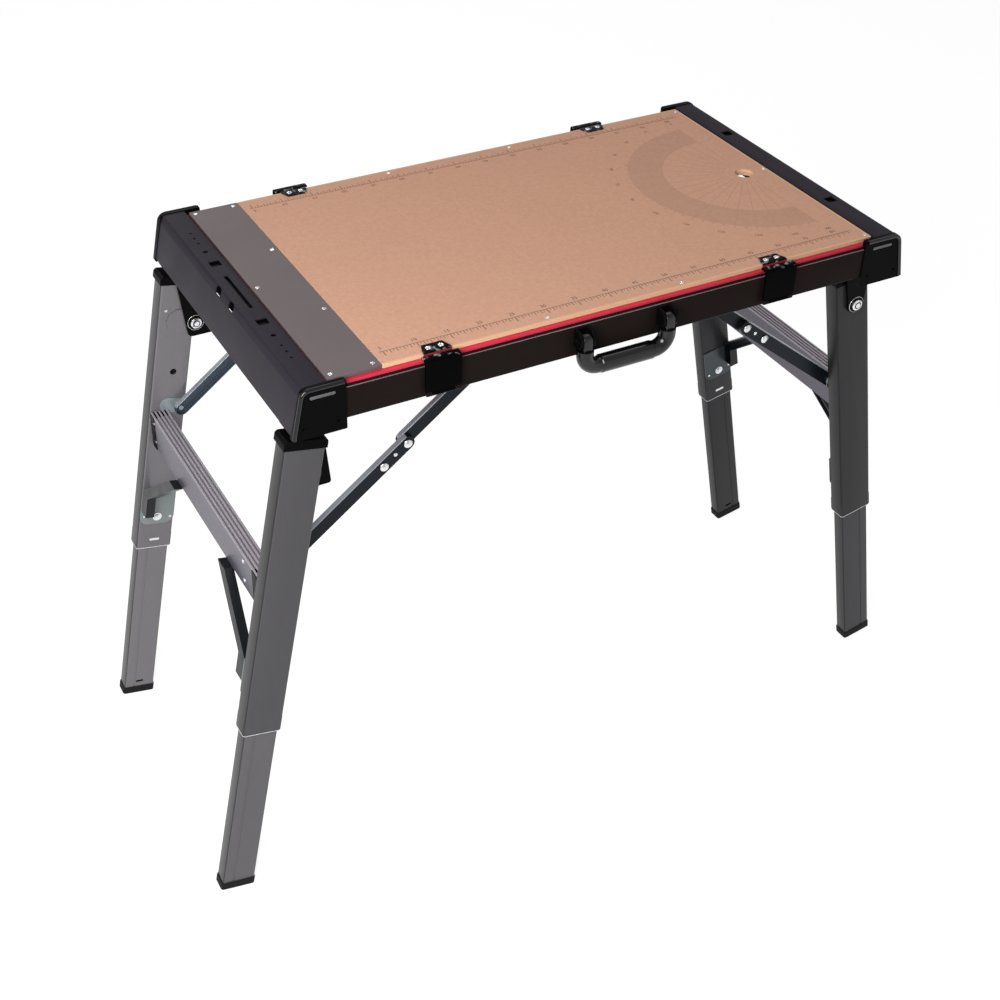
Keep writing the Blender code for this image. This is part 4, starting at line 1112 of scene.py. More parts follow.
def slab(outline: np.ndarray, low: float, high: float, edge: float) -> np.ndarray:
    """A plate over a convex outline: rings from the top's middle over two rounded edges to the bottom's.

    Each ring is the outline scaled about its middle so that it comes in by the edge's radius times
    1 - cos t, at a height of the face less the radius times 1 - sin t, for a quarter turn of t.

    Args:
        outline: corners as (x, y) rows.
        low: height of the bottom.
        high: height of the top.
        edge: radius of the rounded edges.

    Returns:
        A grid of points, closed round its columns.
    """
    middle = outline.mean(axis=0)
    reach = np.linalg.norm(outline - middle, axis=1).min()
    turn = np.radians(np.array((90.0, 60.0, 30.0, 0.0)))
    inset = 1.0 - edge / reach * (1.0 - np.cos(turn))
    scales = np.concatenate(((0.0,), inset, inset[::-1], (0.0,)))
    fall = edge * (1.0 - np.sin(turn))
    heights = np.concatenate(((high,), high - fall, low + fall[::-1], (low,)))
    grid = np.empty((len(scales), len(outline), 3))
    grid[:, :, :2] = middle + (outline - middle)[None] * scales[:, None, None]
    grid[:, :, 2] = heights[:, None]
    return grid


def stadium(half_length: float, radius: float, steps: int = 8) -> np.ndarray:
    """Outline of a bar with round ends: radius (cos t, sin t) for a half turn at each end.

    Args:
        half_length: half the bar's length.
        radius: half its width.
        steps: points round each end.

    Returns:
        The outline's corners.
    """
    angle = np.linspace(-math.pi / 2, math.pi / 2, steps)
    arc = np.stack((np.cos(angle), np.sin(angle)), axis=1) * radius
    right = arc + np.array((half_length - radius, 0.0))
    return np.concatenate((right, -right))


def ring_outline(radius: float, steps: int = 28) -> np.ndarray:
    """Outline of a circle: radius (cos t, sin t) for a whole turn."""
    angle = np.linspace(0.0, 2.0 * math.pi, steps, endpoint=False)
    return np.stack((np.cos(angle), np.sin(angle)), axis=1) * radius


def tube(path: np.ndarray, radii: np.ndarray, binormal: Vec, steps: int = 28) -> np.ndarray:
    """A round tube along a flat path: centre + radius (cos t normal + sin t binormal), with closed ends.

    Args:
        path: the middle line's points.
        radii: the radius at each of them.
        binormal: direction square to the path's plane.
        steps: points round the tube.

    Returns:
        A grid of points, closed round its columns.
    """
    tangent = np.gradient(path, axis=0)
    tangent /= np.linalg.norm(tangent, axis=1)[:, None]
    flat = np.array(binormal, float)
    normal = np.cross(tangent, flat)
    angle = np.linspace(0.0, 2.0 * math.pi, steps, endpoint=False)
    ring = np.cos(angle)[None, :, None] * normal[:, None, :] + np.sin(angle)[None, :, None] * flat
    body = path[:, None, :] + radii[:, None, None] * ring
    ends = [np.repeat(path[end][None, None, :], steps, axis=1) for end in (0, -1)]
    return np.concatenate((ends[0], body, ends[1]))


@dataclass(frozen=True)
class Head:
    """Head of a screw, bolt or rivet.

    Args:
        radius: the head's radius.
        height: the crown's height.
        fall: share of the height lost from the crown to the rim.
        recess: the drive's recess.
        washer: radius of a washer under the head, or 0.
        washer_height: the washer's thickness.
        sink: how far the head's foot goes into its seat.
        steps: points round the head.
        depth: the drive's depth, as a share of the height.
        rim: share of its height that the last ring keeps.
        cross: half width and reach of a cross recess's bars, as shares of the radius.
        flats: distance of a hexagonal recess's flats from the middle, as a share of the radius.
    """

    radius: float
    height: float
    fall: float = 0.55
    recess: Recess = Recess.NONE
    washer: float = 0.0
    washer_height: float = 0.0012
    sink: float = 0.0003
    steps: int = 32
    depth: float = 0.6
    rim: float = 0.6
    cross: tuple[float, float] = (0.14, 0.56)
    flats: float = 0.48

    def surface(self) -> np.ndarray:
        """Rings from the crown to the rim and down to the foot.

        A ring at share s of the radius has the height h (1 - fall s^2), less the drive's depth where
        the point is within the drive's outline. The last ring lies lower, so the rim is rounded.

        Returns:
            A grid of points, closed round its columns, its seat at z = 0.
        """
        share = np.array((0.0, 0.1, 0.2, 0.3, 0.4, 0.5, 0.6, 0.75, 0.9, 0.97, 1.0))
        angle = np.linspace(0.0, 2.0 * math.pi, self.steps, endpoint=False)
        x = share[:, None] * np.cos(angle)
        y = share[:, None] * np.sin(angle)
        height = np.repeat((1.0 - self.fall * share ** 2)[:, None], self.steps, axis=1)
        height[-1] *= self.rim
        if self.recess is Recess.CROSS:
            half, reach = self.cross
            bars = np.minimum(abs(x), abs(y)) < half
            height -= self.depth * (bars & (np.maximum(abs(x), abs(y)) < reach))
        elif self.recess is Recess.HEX:
            turns = np.radians(np.array((0.0, 60.0, 120.0)))[:, None, None]
            away = np.abs(x * np.cos(turns) + y * np.sin(turns)).max(axis=0)
            height -= self.depth * (away < self.flats)
        crown = np.stack((x * self.radius, y * self.radius, height * self.height), axis=2)
        foot = crown[-1:].copy()
        foot[..., 2] = -self.sink
        middle = foot * np.array((0.0, 0.0, 1.0))
        return np.concatenate((crown, foot, middle))

    def add_to(self, batch: "Batch", place: Sequence[float], normal: Sequence[float],
               spin: float = 0.0) -> None:
        """Add the head, and its washer, to a batch.

        Args:
            batch: where it goes.
            place: the seat's middle.
            normal: the way that the head faces.
            spin: turn of the recess, in degrees.
        """
        matrix = turned_to(place, normal, spin)
        if self.washer > 0.0:
            batch.add(slab(ring_outline(self.washer), -self.sink, self.washer_height, 0.0004), matrix)
            matrix = matrix @ np.array(Matrix.Translation((0.0, 0.0, self.washer_height)))
        batch.add(self.surface(), matrix)


class Batch:
    """Surfaces gathered into one piece."""

    def __init__(self) -> None:
        """Start with nothing."""
        self.points: list[np.ndarray] = []
        self.faces: list[np.ndarray] = []
        self.count = 0

    def add(self, grid: np.ndarray, matrix: Optional[np.ndarray] = None) -> None:
        """Add a grid that is closed round its columns.

        Args:
            grid: points, rows by columns by 3.
            matrix: where it goes.
        """
        rows, columns = grid.shape[:2]
        flat = grid.reshape(-1, 3)
        if matrix is not None:
            flat = flat @ matrix[:3, :3].T + matrix[:3, 3]
        index = np.arange(rows * columns).reshape(rows, columns) + self.count
        beside = np.roll(index, -1, axis=1)
        quads = np.stack((index[:-1], index[1:], beside[1:], beside[:-1]), axis=-1)
        self.points.append(flat)
        self.faces.append(quads.reshape(-1, 4))
        self.count += rows * columns

    def piece(self, name: str, body: str, finish: str, sharp: float = 40.0) -> bpy.types.Object:
        """Make the gathered surfaces one finished piece.

        Args:
            name: the piece's name.
            body: the body that it rides on.
            finish: its finish.
            sharp: the angle, in degrees, above which an edge is shaded sharp.

        Returns:
            The piece.
        """
        mesh = bpy.data.meshes.new(name)
        mesh.from_pydata(np.concatenate(self.points).tolist(), [], np.concatenate(self.faces).tolist())
        work = bmesh.new()
        work.from_mesh(mesh)
        bmesh.ops.remove_doubles(work, verts=work.verts, dist=FINE_MERGE)
        bmesh.ops.recalc_face_normals(work, faces=work.faces)
        work.to_mesh(mesh)
        work.free()
        mesh.shade_smooth()
        mesh.set_sharp_from_angle(angle=math.radians(sharp))
        return show(bpy.data.objects.new(name, mesh), body, finish)


def show(piece: bpy.types.Object, body: str, finish: str) -> bpy.types.Object:
    """Link a piece, let it ride on its body, give it its finish and report it.

    Args:
        piece: the piece, with its place in its mesh.
        body: the body that it rides on.
        finish: its finish.

    Returns:
        The piece.
    """
    bpy.context.scene.collection.objects.link(piece)
    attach(piece, body)
    Palette.give(piece, finish)
    LOG.info("%s on %s, %s, %d faces", piece.name, body, finish, len(piece.data.polygons))
    return piece


def place_thing(name: str, data: bpy.types.ID, matrix: Optional[np.ndarray] = None) -> bpy.types.Object:
    """Make an object and link it.

    Args:
        name: its name.
        data: its mesh, curve, lamp or camera.
        matrix: where it stands.

    Returns:
        The object.
    """
    made = bpy.data.objects.new(name, data)
    if matrix is not None:
        made.matrix_world = Matrix(matrix.tolist())
    bpy.context.scene.collection.objects.link(made)
    return made


def body_of(node: str) -> str:
    """The body that a CAD node belongs to."""
    bodies = frame["record"]["behaviour"]["bodies"]
    return next(body for body, nodes in bodies.items() if node in nodes)


def soften(node: str, finish: str, edge: float, segments: int = 2) -> bpy.types.Object:
    """Stand a copy with rounded edges in for a CAD node.

    Args:
        node: the CAD node.
        finish: the copy's finish.
        edge: width of the rounding.
        segments: faces across the rounding.

    Returns:
        The copy.
    """
    mesh = frame["nodes"][node].data.copy()
    mesh.name = f"{node}_finished"
    work = bmesh.new()
    work.from_mesh(mesh)
    bmesh.ops.remove_doubles(work, verts=work.verts, dist=MERGE)
    bmesh.ops.dissolve_limit(work, angle_limit=math.radians(FLAT_ANGLE), verts=work.verts, edges=work.edges)
    work.to_mesh(mesh)
    work.free()
    if "custom_normal" in mesh.attributes:
        mesh.attributes.remove(mesh.attributes["custom_normal"])
    mesh.shade_smooth()
    piece = bpy.data.objects.new(f"{node}_finished", mesh)
    bevel = piece.modifiers.new("edges", "BEVEL")
    bevel.width = edge
    bevel.segments = segments
    bevel.limit_method = "ANGLE"
    bevel.angle_limit = math.radians(EDGE_ANGLE)
    bevel.harden_normals = True
    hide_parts(node)
    return show(piece, body_of(node), finish)


# Sub-assemblies


@dataclass
class Worktop:
    """Fibreboard, steel end plate, red panel, their screws and the printed numbers.

    Args:
        screw: a screw's head.
        screw_rows: for each place along X, the places across the table.
        numeral: height of a printed number.
        small: share of that height that the protractor's numbers have.
        beside: distance of the scales' numbers from the scale's long line.
        beyond: distance of the protractor's numbers from its band.
        print_height: half the thickness of the print.
        clearance: the print's distance above the board.
    """

    screw: Head = Head(0.0034, 0.0009, 0.6, Recess.CROSS)
    screw_rows: dict[float, tuple[float, ...]] = field(default_factory=lambda: {
        -0.4347: (-0.2525, 0.0, 0.2525), -0.374: (-0.2525, -0.095, 0.095, 0.2525),
        -0.110: (-0.2525, 0.2525), 0.110: (-0.2525, 0.2525), 0.438: (-0.2525, 0.0, 0.2525),
    })
    numeral: float = 0.0095
    small: float = 0.85
    beside: float = 0.0085
    beyond: float = 0.026
    print_height: float = 0.00003
    clearance: float = 0.00001

    def build(self) -> None:
        """Make the sub-assembly. The screws' recesses are turned one way and another."""
        soften("worktop_board", "fibreboard", 0.0008)
        soften("steel_end_plate", "steel_plate", 0.0006)
        soften("red_deck_panel", "red_panel", 0.0008)
        screws = Batch()
        for number, (x, places) in enumerate(self.screw_rows.items()):
            for y in places:
                self.screw.add_to(screws, (x, y + MIDDLE_Y, DECK_TOP), (0, 0, 1), number * 37 + y * 200)
        screws.piece("worktop_screws", "deck", "bright_zinc")
        self.numbers()

    def numbers(self) -> None:
        """Print plain numbers beside the scales' long ticks and round the protractor."""
        board = FINISHES["fibreboard"]
        marks: list[tuple[str, float, float, float, float]] = []
        pitch, first, last = board.ticks[-1][0], -7, 8
        for row in Row:
            y = MIDDLE_Y + row.value * (board.half_width - board.baseline - self.beside)
            turn = 0.0 if row is Row.FRONT else 180.0
            for step in range(first, last + 1):
                marks.append((str((step - first + 1) * 5), step * pitch, y, turn, self.numeral))
        radius = board.ring[1] + self.beyond
        for degrees in range(0, 181, 15):
            angle = math.radians(90 + degrees)
            marks.append((str(degrees), board.centre[0] + radius * math.cos(angle),
                          board.centre[1] + radius * math.sin(angle), degrees + 180.0,
                          self.numeral * self.small))
        work = bmesh.new()
        for mark in marks:
            work.from_mesh(self.number(*mark))
        joined = bpy.data.meshes.new("printed_numbers")
        work.to_mesh(joined)
        work.free()
        show(bpy.data.objects.new("printed_numbers", joined), "deck", "print_ink")

    def number(self, text: str, x: float, y: float, turn: float, size: float) -> bpy.types.Mesh:
        """One number as a thin flat mesh, just proud of the board.

        Args:
            text: the digits.
            x: the middle along the table.
            y: the middle across it.
            turn: turn about Z in degrees.
            size: the digits' height.

        Returns:
            The mesh, in the table's frame.
        """
        curve = bpy.data.curves.new("number", "FONT")
        curve.body = text
        curve.size = size
        curve.align_x = "CENTER"
        curve.align_y = "CENTER"
        curve.resolution_u = 2
        curve.extrude = self.print_height
        holder = place_thing("number", curve)
        seen = holder.evaluated_get(bpy.context.evaluated_depsgraph_get())
        mesh = bpy.data.meshes.new_from_object(seen)
        bpy.data.objects.remove(holder)
        bpy.data.curves.remove(curve)
        place = Matrix.Translation((x, y, DECK_TOP + self.print_height + self.clearance))
        mesh.transform(place @ Matrix.Rotation(math.radians(turn), 4, "Z"))
        return mesh


@dataclass
class DeckFrame:
    """Rails, end caps, corner blocks, cross members, hinge ears and their bolts.

    Args:
        bolt: head of a leg's pivot bolt, with its washer.
        block_screw: screw in a corner block.
        bar: half length and half height of the light bar in a corner block.
        bar_x: the bar's distance from the table's middle.
        bar_drop: its depth below the work surface.
        bar_floor: its depth in the block's face.
        block_face: distance of the blocks' outer faces from the middle plane.
        sockets: distances of a block's two screws from the table's middle.
        socket_drop: their depth below the work surface.
        socket_floor: their depth in the block's face.
        ear_faces: distances of the ears' inner and outer faces from the middle plane.
        rim_foot: the rim's lower end, along the table and up.
        rim_top: the corner of its line.
        rim_end: where its top edge ends.
        rim_bend: radius of its bend.
        rim_start: where its bend starts, in degrees above the outboard direction.
        rim_radius: radius of the rim itself.
        liner_drop: depth under the caps' tops of the black sheets of painted shade.
        liner_reach: how far they reach from the middle plane.
        shoulder_reach: where the left cap's black sheet of painted shade under its shoulder starts and
            ends.
    """

    bolt: Head = Head(0.0092, 0.0052, 0.5, washer=0.0134)
    block_screw: Head = Head(0.0021, 0.0005, 0.4, Recess.CROSS, steps=20)
    bar: tuple[float, float] = (0.0183, 0.0024)
    bar_x: float = 0.4555
    bar_drop: float = 0.014
    bar_floor: float = 0.0017
    block_face: float = 0.2762
    sockets: tuple[float, float] = (0.4335, 0.4835)
    socket_drop: float = 0.058
    socket_floor: float = 0.0029
    ear_faces: tuple[float, float] = (0.2232, 0.2272)
    rim_foot: tuple[float, float] = (0.4985, 0.8290)
    rim_top: tuple[float, float] = (0.4745, 0.8995)
    rim_end: float = 0.4255
    rim_bend: float = 0.012
    rim_start: float = 12.0
    rim_radius: float = 0.0030
    liner_drop: float = 0.0040
    liner_reach: float = 0.205
    shoulder_reach: tuple[float, float] = (-0.060, 0.080)

    def build(self) -> None:
        """Make the sub-assembly."""
        for row in Row:
            soften(f"rail_{row.word}", "bronze_paint", 0.0005)
        for name in ("left", "middle", "right"):
            soften(f"cross_member_{name}", "bronze_paint", 0.0004)
        bars, screws, bolts, rims = Batch(), Batch(), Batch(), Batch()
        for side in Side:
            soften(f"end_cap_{side.word}", "hammered_paint", 0.0007)
            for row in Row:
                soften(f"corner_block_{row.word}_{side.word}", "black_plastic", 0.0032, 5)
                soften(f"hinge_ear_{row.word}_{side.word}", "black_steel", 0.0006)
                rims.add(self.rim(side, row))
                outward = (0, row.value, 0)
                y = MIDDLE_Y + row.value * (self.block_face - self.bar_floor)
                place = (side.value * self.bar_x, y, DECK_TOP - self.bar_drop)
                bars.add(slab(stadium(*self.bar), -0.0002, 0.0011, 0.0005),
                         turned_to(place, outward, 90 * row.value))
                y = MIDDLE_Y + row.value * (self.block_face - self.socket_floor)
                for x in self.sockets:
                    place = (side.value * x, y, DECK_TOP - self.socket_drop)
                    self.block_screw.add_to(screws, place, outward, x * 900)
                self.pivot_bolt(bolts, side, row)
            # Black sheets of painted shade inside the end cap, so that its holes look dark
            self.liner(side)
        rims.piece("corner_block_rims", "deck", "handle_plastic")
        bars.piece("corner_block_bars", "deck", "light_bar")
        screws.piece("corner_block_screws", "deck", "black_steel")
        bolts.piece("leg_pivot_bolts", "deck", "bright_zinc")

    def rim(self, side: Side, row: Row) -> np.ndarray:
        """The rolled rim along a corner block's outboard and top edges: a tube along a bent line.

        The line's bend is the corner's place plus the bend's radius times (cos t, sin t - 1).

        Args:
            side: left or right.
            row: front or back.

        Returns:
            A grid of points, closed round its columns.
        """
        turn = np.radians(np.linspace(self.rim_start, 90.0, 8))
        bend = np.array(self.rim_top) + self.rim_bend * np.stack((np.cos(turn), np.sin(turn) - 1.0), axis=1)
        line = np.concatenate(((self.rim_foot,), bend, ((self.rim_end, self.rim_top[1]),)))
        y = np.full(len(line), MIDDLE_Y + row.value * self.block_face)
        path = np.stack((side.value * line[:, 0], y, line[:, 1]), axis=1)
        return tube(path, np.full(len(line), self.rim_radius), (0.0, 1.0, 0.0), 16)

    def liner(self, side: Side) -> None:
        """Painted shade: a black sheet under an end cap's top flange, and on the left under part of its
        shoulder, so that the cap's holes look dark inside.

        Each is a thin section, given as distance outboard of the cap's inner edge and height, swept
        straight across the table and closed at both ends.

        Args:
            side: left or right.
        """
        low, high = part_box(f"end_cap_{side.word}")
        inner = low[0] if side is Side.RIGHT else high[0]
        batch = Batch()
        shelf = np.array(((0.0045, 0.0), (0.0330, 0.0), (0.0330, -0.0012), (0.0045, -0.0012)))
        shoulder = np.array(((0.0325, 0.0), (0.0360, -0.0102), (0.0363, -0.0117),
                             (0.0351, -0.0117), (0.0348, -0.0104), (0.0313, -0.0012)))
        parts = [(shelf, -self.liner_reach, self.liner_reach)]
        if side is Side.LEFT:
            parts.append((shoulder, *self.shoulder_reach))
        for section, start, end in parts:
            grid = np.empty((4, len(section), 3))
            grid[:, :, 0] = inner + side.value * section[:, 0]
            grid[:, :, 1] = MIDDLE_Y + np.array((start, start, end, end))[:, None]
            grid[:, :, 2] = high[2] - self.liner_drop + section[:, 1]
            grid[0], grid[3] = grid[0].mean(axis=0), grid[3].mean(axis=0)
            batch.add(grid)
        batch.piece(f"cap_liner_{side.word}", "deck", "black_steel")

    def pivot_bolt(self, batch: Batch, side: Side, row: Row) -> None:
        """The bright bolt and washer on an ear's free side: outer on the right, inner on the left.

        Args:
            batch: where they go.
            side: left or right.
            row: front or back.
        """
        line = LEG_LINES[side]
        toward = row.value * side.value
        face = self.ear_faces[1] if side is Side.RIGHT else self.ear_faces[0]
        place = (side.value * line.pivot[0], MIDDLE_Y + row.value * face, line.pivot[1])
        self.bolt.add_to(batch, place, (0, toward, 0))


@dataclass
class Clips:
    """Keepers with their screws, and the levers.

    Args:
        screw: a keeper screw's head.
        spacing: half the distance between a keeper's screws.
        inset: distance of the screws from the board's edge.
        top: height of the keepers' upper faces.
    """

    screw: Head = Head(0.0042, 0.0016, 0.7, Recess.CROSS)
    spacing: float = 0.0095
    inset: float = 0.0100
    top: float = 0.9018

    def build(self) -> None:
        """Make the sub-assembly. The screws' recesses are turned one way and another."""
        screws = Batch()
        for row in Row:
            for side in Side:
                keeper = f"clip_keeper_{row.word}_{side.word}"
                soften(keeper, "keeper_steel", 0.0004)
                soften(f"clip_lever_{row.word}_{side.word}", "clip_steel", 0.0006)
                low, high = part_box(keeper)
                middle = (low[0] + high[0]) / 2
                edge = low[1] if row is Row.FRONT else high[1]
                for step in (-1, 1):
                    place = (middle + step * self.spacing, edge - row.value * self.inset, self.top)
                    self.screw.add_to(screws, place, (0, 0, 1), 20 + 50 * step + middle * 100)
        screws.piece("clip_keeper_screws", "deck", "bright_zinc")


@dataclass
class CarryHandle:
    """The bail handle and its two mounts.

    Args:
        half_span: distance of each arm from the middle.
        pivot: the pins' place across the table and their height.
        low: height of the grip's middle line.
        bend: radius of the bail's corners.
        grip: radius of the grip.
        sleeve: radius at the corners.
        start: distance of the uprights' upper ends below the pins.
        forward: distance of the bail in front of the pins.
        eye: half length and radius of an arm's eye.
        arm: half an eye's thickness.
        eye_place: an eye's middle from its pin, across the table and up.
        pin: head of a pin.
    """

    half_span: float = 0.0675
    pivot: tuple[float, float] = (-0.27825, 0.8715)
    low: float = 0.8262
    bend: float = 0.021
    grip: float = 0.0136
    sleeve: float = 0.0124
    start: float = 0.016
    forward: float = 0.002
    eye: tuple[float, float] = (0.0190, 0.0094)
    arm: float = 0.0069
    eye_place: tuple[float, float] = (-0.0008, -0.0106)
    pin: Head = Head(0.0040, 0.0016, 0.6, Recess.HEX, steps=24)

    def build(self) -> None:
        """Make the sub-assembly."""
        pins, handle = Batch(), Batch()
        handle.add(self.bail())
        arm = slab(stadium(*self.eye, 14), -self.arm, self.arm, 0.0012)
        for side in Side:
            mount = f"handle_mount_{side.word}"
            soften(mount, "black_plastic", 0.0010, 3)
            low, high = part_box(mount)
            face = high[0] if side is Side.RIGHT else low[0]
            self.pin.add_to(pins, (face, *self.pivot), (side.value, 0, 0))
            place = (side.value * self.half_span, self.pivot[0] + self.eye_place[0],
                     self.pivot[1] + self.eye_place[1])
            handle.add(arm, set_up((0, 0, -1), (0, 1, 0), (1, 0, 0), place))
        pins.piece("handle_mount_pins", "deck", "black_steel")
        piece = handle.piece("carry_handle_finished", "handle", "handle_plastic", 35.0)
        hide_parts("carry_handle")

    def bail(self) -> np.ndarray:
        """The U of the bail: a tube down two uprights, round two quarter circles and along the grip.

        A corner's line is its middle plus the bend's radius times (cos t, sin t). Half the line is
        worked out, and the other half is its mirror image. Just inside the corners the tube goes over
        to the grip's radius.

        Returns:
            A grid of points, closed round its columns.
        """
        reach = self.half_span - self.bend
        angle = np.radians(np.linspace(0.0, -90.0, 14))
        corner = np.array((reach, self.low + self.bend)) + self.bend * np.stack(
            (np.cos(angle), np.sin(angle)), axis=1)
        heights = np.linspace(self.pivot[1] - self.start, self.low + self.bend, 5)[:-1]
        upright = np.stack((np.full(4, self.half_span), heights), axis=1)
        across = reach * np.array((0.93, 0.90, 0.5, 0.0))
        half = np.concatenate((upright, corner, np.stack((across, np.full(4, self.low)), axis=1)))
        radii = np.concatenate((np.full(19, self.sleeve), np.full(3, self.grip)))
        flat = np.concatenate((half, half[-2::-1] * np.array((-1.0, 1.0))))
        path = np.stack((flat[:, 0], np.full(len(flat), self.pivot[0] - self.forward), flat[:, 1]), axis=1)
        return tube(path, np.concatenate((radii, radii[-2::-1])), (0.0, 1.0, 0.0))


@dataclass
class LegFrame:
    """One pair of legs with their rung, braces and feet.

    Args:
        line: where the legs stand.
        bolt: bolt of a brace plate.
        dot: small screw beside it, and near the left legs' pivots.
        rivet: rivet of the rung.
        button: half length and radius of a lock button.
        lock_rise: the button's height above the upper tube's cut, along the leg.
        button_depth: depth of the button's seat under the tube's inner face.
        plate_middle: depth of a brace plate's bolt below the work surface.
        plate_face: how far the plate stands off the tube's inner face.
        dot_reach: distance of the small screws from the bolt.
        dot_rise: how much higher each small screw sits, as a share of its distance outboard.
        pivot_screws: places of the left legs' small screws, along the leg and outboard.
        rivet_inset: distance of the rivets from the rung's end.
        rivet_drops: their depth, as shares of the rung's height.
        end_depth: half an end piece's depth.
        end_drop: how far an end piece sits below the rung's middle.
        end_margin: what its half width and half height add to the rung's.
        end_proud: how far it stands out of the rung's end.
    """

    line: LegLine
    bolt: Head = Head(0.0058, 0.0030, 0.5, washer=0.0078)
    dot: Head = Head(0.0022, 0.0008, 0.5, steps=20)
    rivet: Head = Head(0.0036, 0.0014, 0.7, steps=24)
    button: tuple[float, float] = (0.0091, 0.0024)
    lock_rise: float = 0.0165
    button_depth: float = 0.0012
    plate_middle: float = 0.520
    plate_face: float = 0.0023
    dot_reach: float = 0.0225
    dot_rise: float = 0.1
    pivot_screws: tuple[tuple[float, float], ...] = ((0.816, 0.016), (0.765, 0.018))
    rivet_inset: dict[Row, float] = field(default_factory=lambda: {Row.FRONT: 0.053, Row.BACK: 0.014})
    rivet_drops: tuple[float, float] = (0.2, 0.78)
    end_depth: float = 0.0085
    end_drop: float = 0.0014
    end_margin: tuple[float, float] = (0.0006, 0.0002)
    end_proud: float = 0.0001

    def build(self) -> None:
        """Make the sub-assembly."""
        side = self.line.side
        body = f"leg_frame_{side.word}"
        buttons, bolts = Batch(), Batch()
        for row in Row:
            end = f"{row.word}_{side.word}"
            soften(f"leg_upper_{end}", f"upper_{end}", 0.0005)
            soften(f"leg_top_cap_{end}", "black_plastic", 0.0008)
            soften(f"leg_lower_{end}", f"lower_{end}", 0.0004)
            soften(f"foot_{end}", "black_rubber", 0.0008)
            soften(f"rung_brace_{end}", f"brace_zinc_{side.word}", 0.0004)
            place = self.line.point(self.line.shown + self.lock_rise, 0.0, -self.button_depth, row)
            inward = np.array((0.0, -row.value, 0.0))
            across = np.cross(self.line.axis, inward)
            matrix = set_up(across, np.cross(inward, across), inward, place)
            buttons.add(slab(stadium(*self.button), -0.0004, 0.0010, 0.0004), matrix)
            self.plate_screws(bolts, row)
        buttons.piece(f"lock_buttons_{side.word}", body, "bright_zinc")
        bolts.piece(f"brace_bolts_{side.word}", body, "bright_zinc")
        self.rung(body)

    def plate_screws(self, batch: Batch, row: Row) -> None:
        """The bolt in the middle of a brace plate, the small screws beside it and those at the pivot.

        Args:
            batch: where they go.
            row: front or back.
        """
        up = (DECK_TOP - self.plate_middle - self.line.foot_z) / self.line.axis[2]
        inward = (0, -row.value, 0)
        for across, head in ((0.0, self.bolt), (-self.dot_reach, self.dot), (self.dot_reach, self.dot)):
            place = self.line.point(up + across * self.dot_rise, across, self.plate_face, row)
            head.add_to(batch, place, inward, 30)
        if self.line.side is Side.LEFT:
            for along, across in self.pivot_screws:
                self.dot.add_to(batch, self.line.point(along, across, 0.0, row), inward)

    def rung(self, body: str) -> None:
        """The tread, its black end pieces and its rivets.

        Args:
            body: the leg frame's body.
        """
        side = self.line.side
        node = f"rung_{side.word}"
        soften(node, "ribbed", 0.0003)
        low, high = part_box(node)
        outer = low[0] if side is Side.LEFT else high[0]
        ends, rivets = Batch(), Batch()
        middle, half = (low + high) / 2, (high - low) / 2
        reach = np.array((half[0], half[2])) + self.end_margin
        corners = np.array(((1, 1), (-1, 1), (-1, -1), (1, -1))) * reach
        corners += (side.value * self.end_margin[0], -self.end_drop)
        for row in Row:
            y = high[1] if row is Row.BACK else low[1]
            place = (middle[0], y - row.value * self.end_depth, middle[2])
            ends.add(slab(corners, -self.end_depth, self.end_depth + self.end_proud, 0.0006),
                     set_up((1, 0, 0), (0, 0, 1), (0, row.value, 0), place))
            for drop in self.rivet_drops:
                place = (outer, y - row.value * self.rivet_inset[row], high[2] - drop * 2 * half[2])
                self.rivet.add_to(rivets, place, (side.value, 0, 0))
        ends.piece(f"rung_end_pieces_{side.word}", body, "black_plastic", 30.0)
        rivets.piece(f"rung_rivets_{side.word}", body, "bright_zinc")


@dataclass
class Stays:
    """The folding stays' links and their rivets.

    Args:
        big: a pivot rivet's dome.
        small: the small rivet between two pivot rivets.
        spacing: distance between the two rivets on a lower link.
        knee: distance of the upper of the two from the lower link's pivot.
        seat: how deep a dome's seat lies in the lower link's face.
        step: how much deeper the small rivet's seat lies.
    """

    big: Head = Head(0.0068, 0.0038, 0.75, steps=28)
    small: Head = Head(0.0030, 0.0014, 0.7, steps=20)
    spacing: float = 0.047
    knee: float = 0.240
    seat: float = 0.0004
    step: float = 0.0016

    def build(self) -> None:
        """Make the sub-assembly."""
        for side in Side:
            for row in Row:
                end = f"{row.word}_{side.word}"
                for part in ("upper", "lower"):
                    soften(f"stay_{part}_{end}", f"stay_{end}", 0.0004)
                self.rivets(end, row)

    def rivets(self, end: str, row: Row) -> None:
        """Two domes on a stay's lower link, with a small rivet between them.

        Args:
            end: row and side in the nodes' names.
            row: front or back.
        """
        lower, upper = stay_pivots(end)
        along = unit((upper - lower) * np.array((1.0, 0.0, 1.0)))
        low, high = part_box(f"stay_lower_{end}")
        face = low[1] if row is Row.FRONT else high[1]
        domes = Batch()
        for back, head in ((0.0, self.big), (self.spacing / 2, self.small), (self.spacing, self.big)):
            place = lower + along * (self.knee - back)
            depth = self.seat if head is self.big else self.seat + self.step
            head.add_to(domes, (place[0], face - row.value * depth, place[2]), (0, row.value, 0))
        domes.piece(f"stay_rivets_{end}", f"lower_link_{end}", "bright_zinc")


# Studio


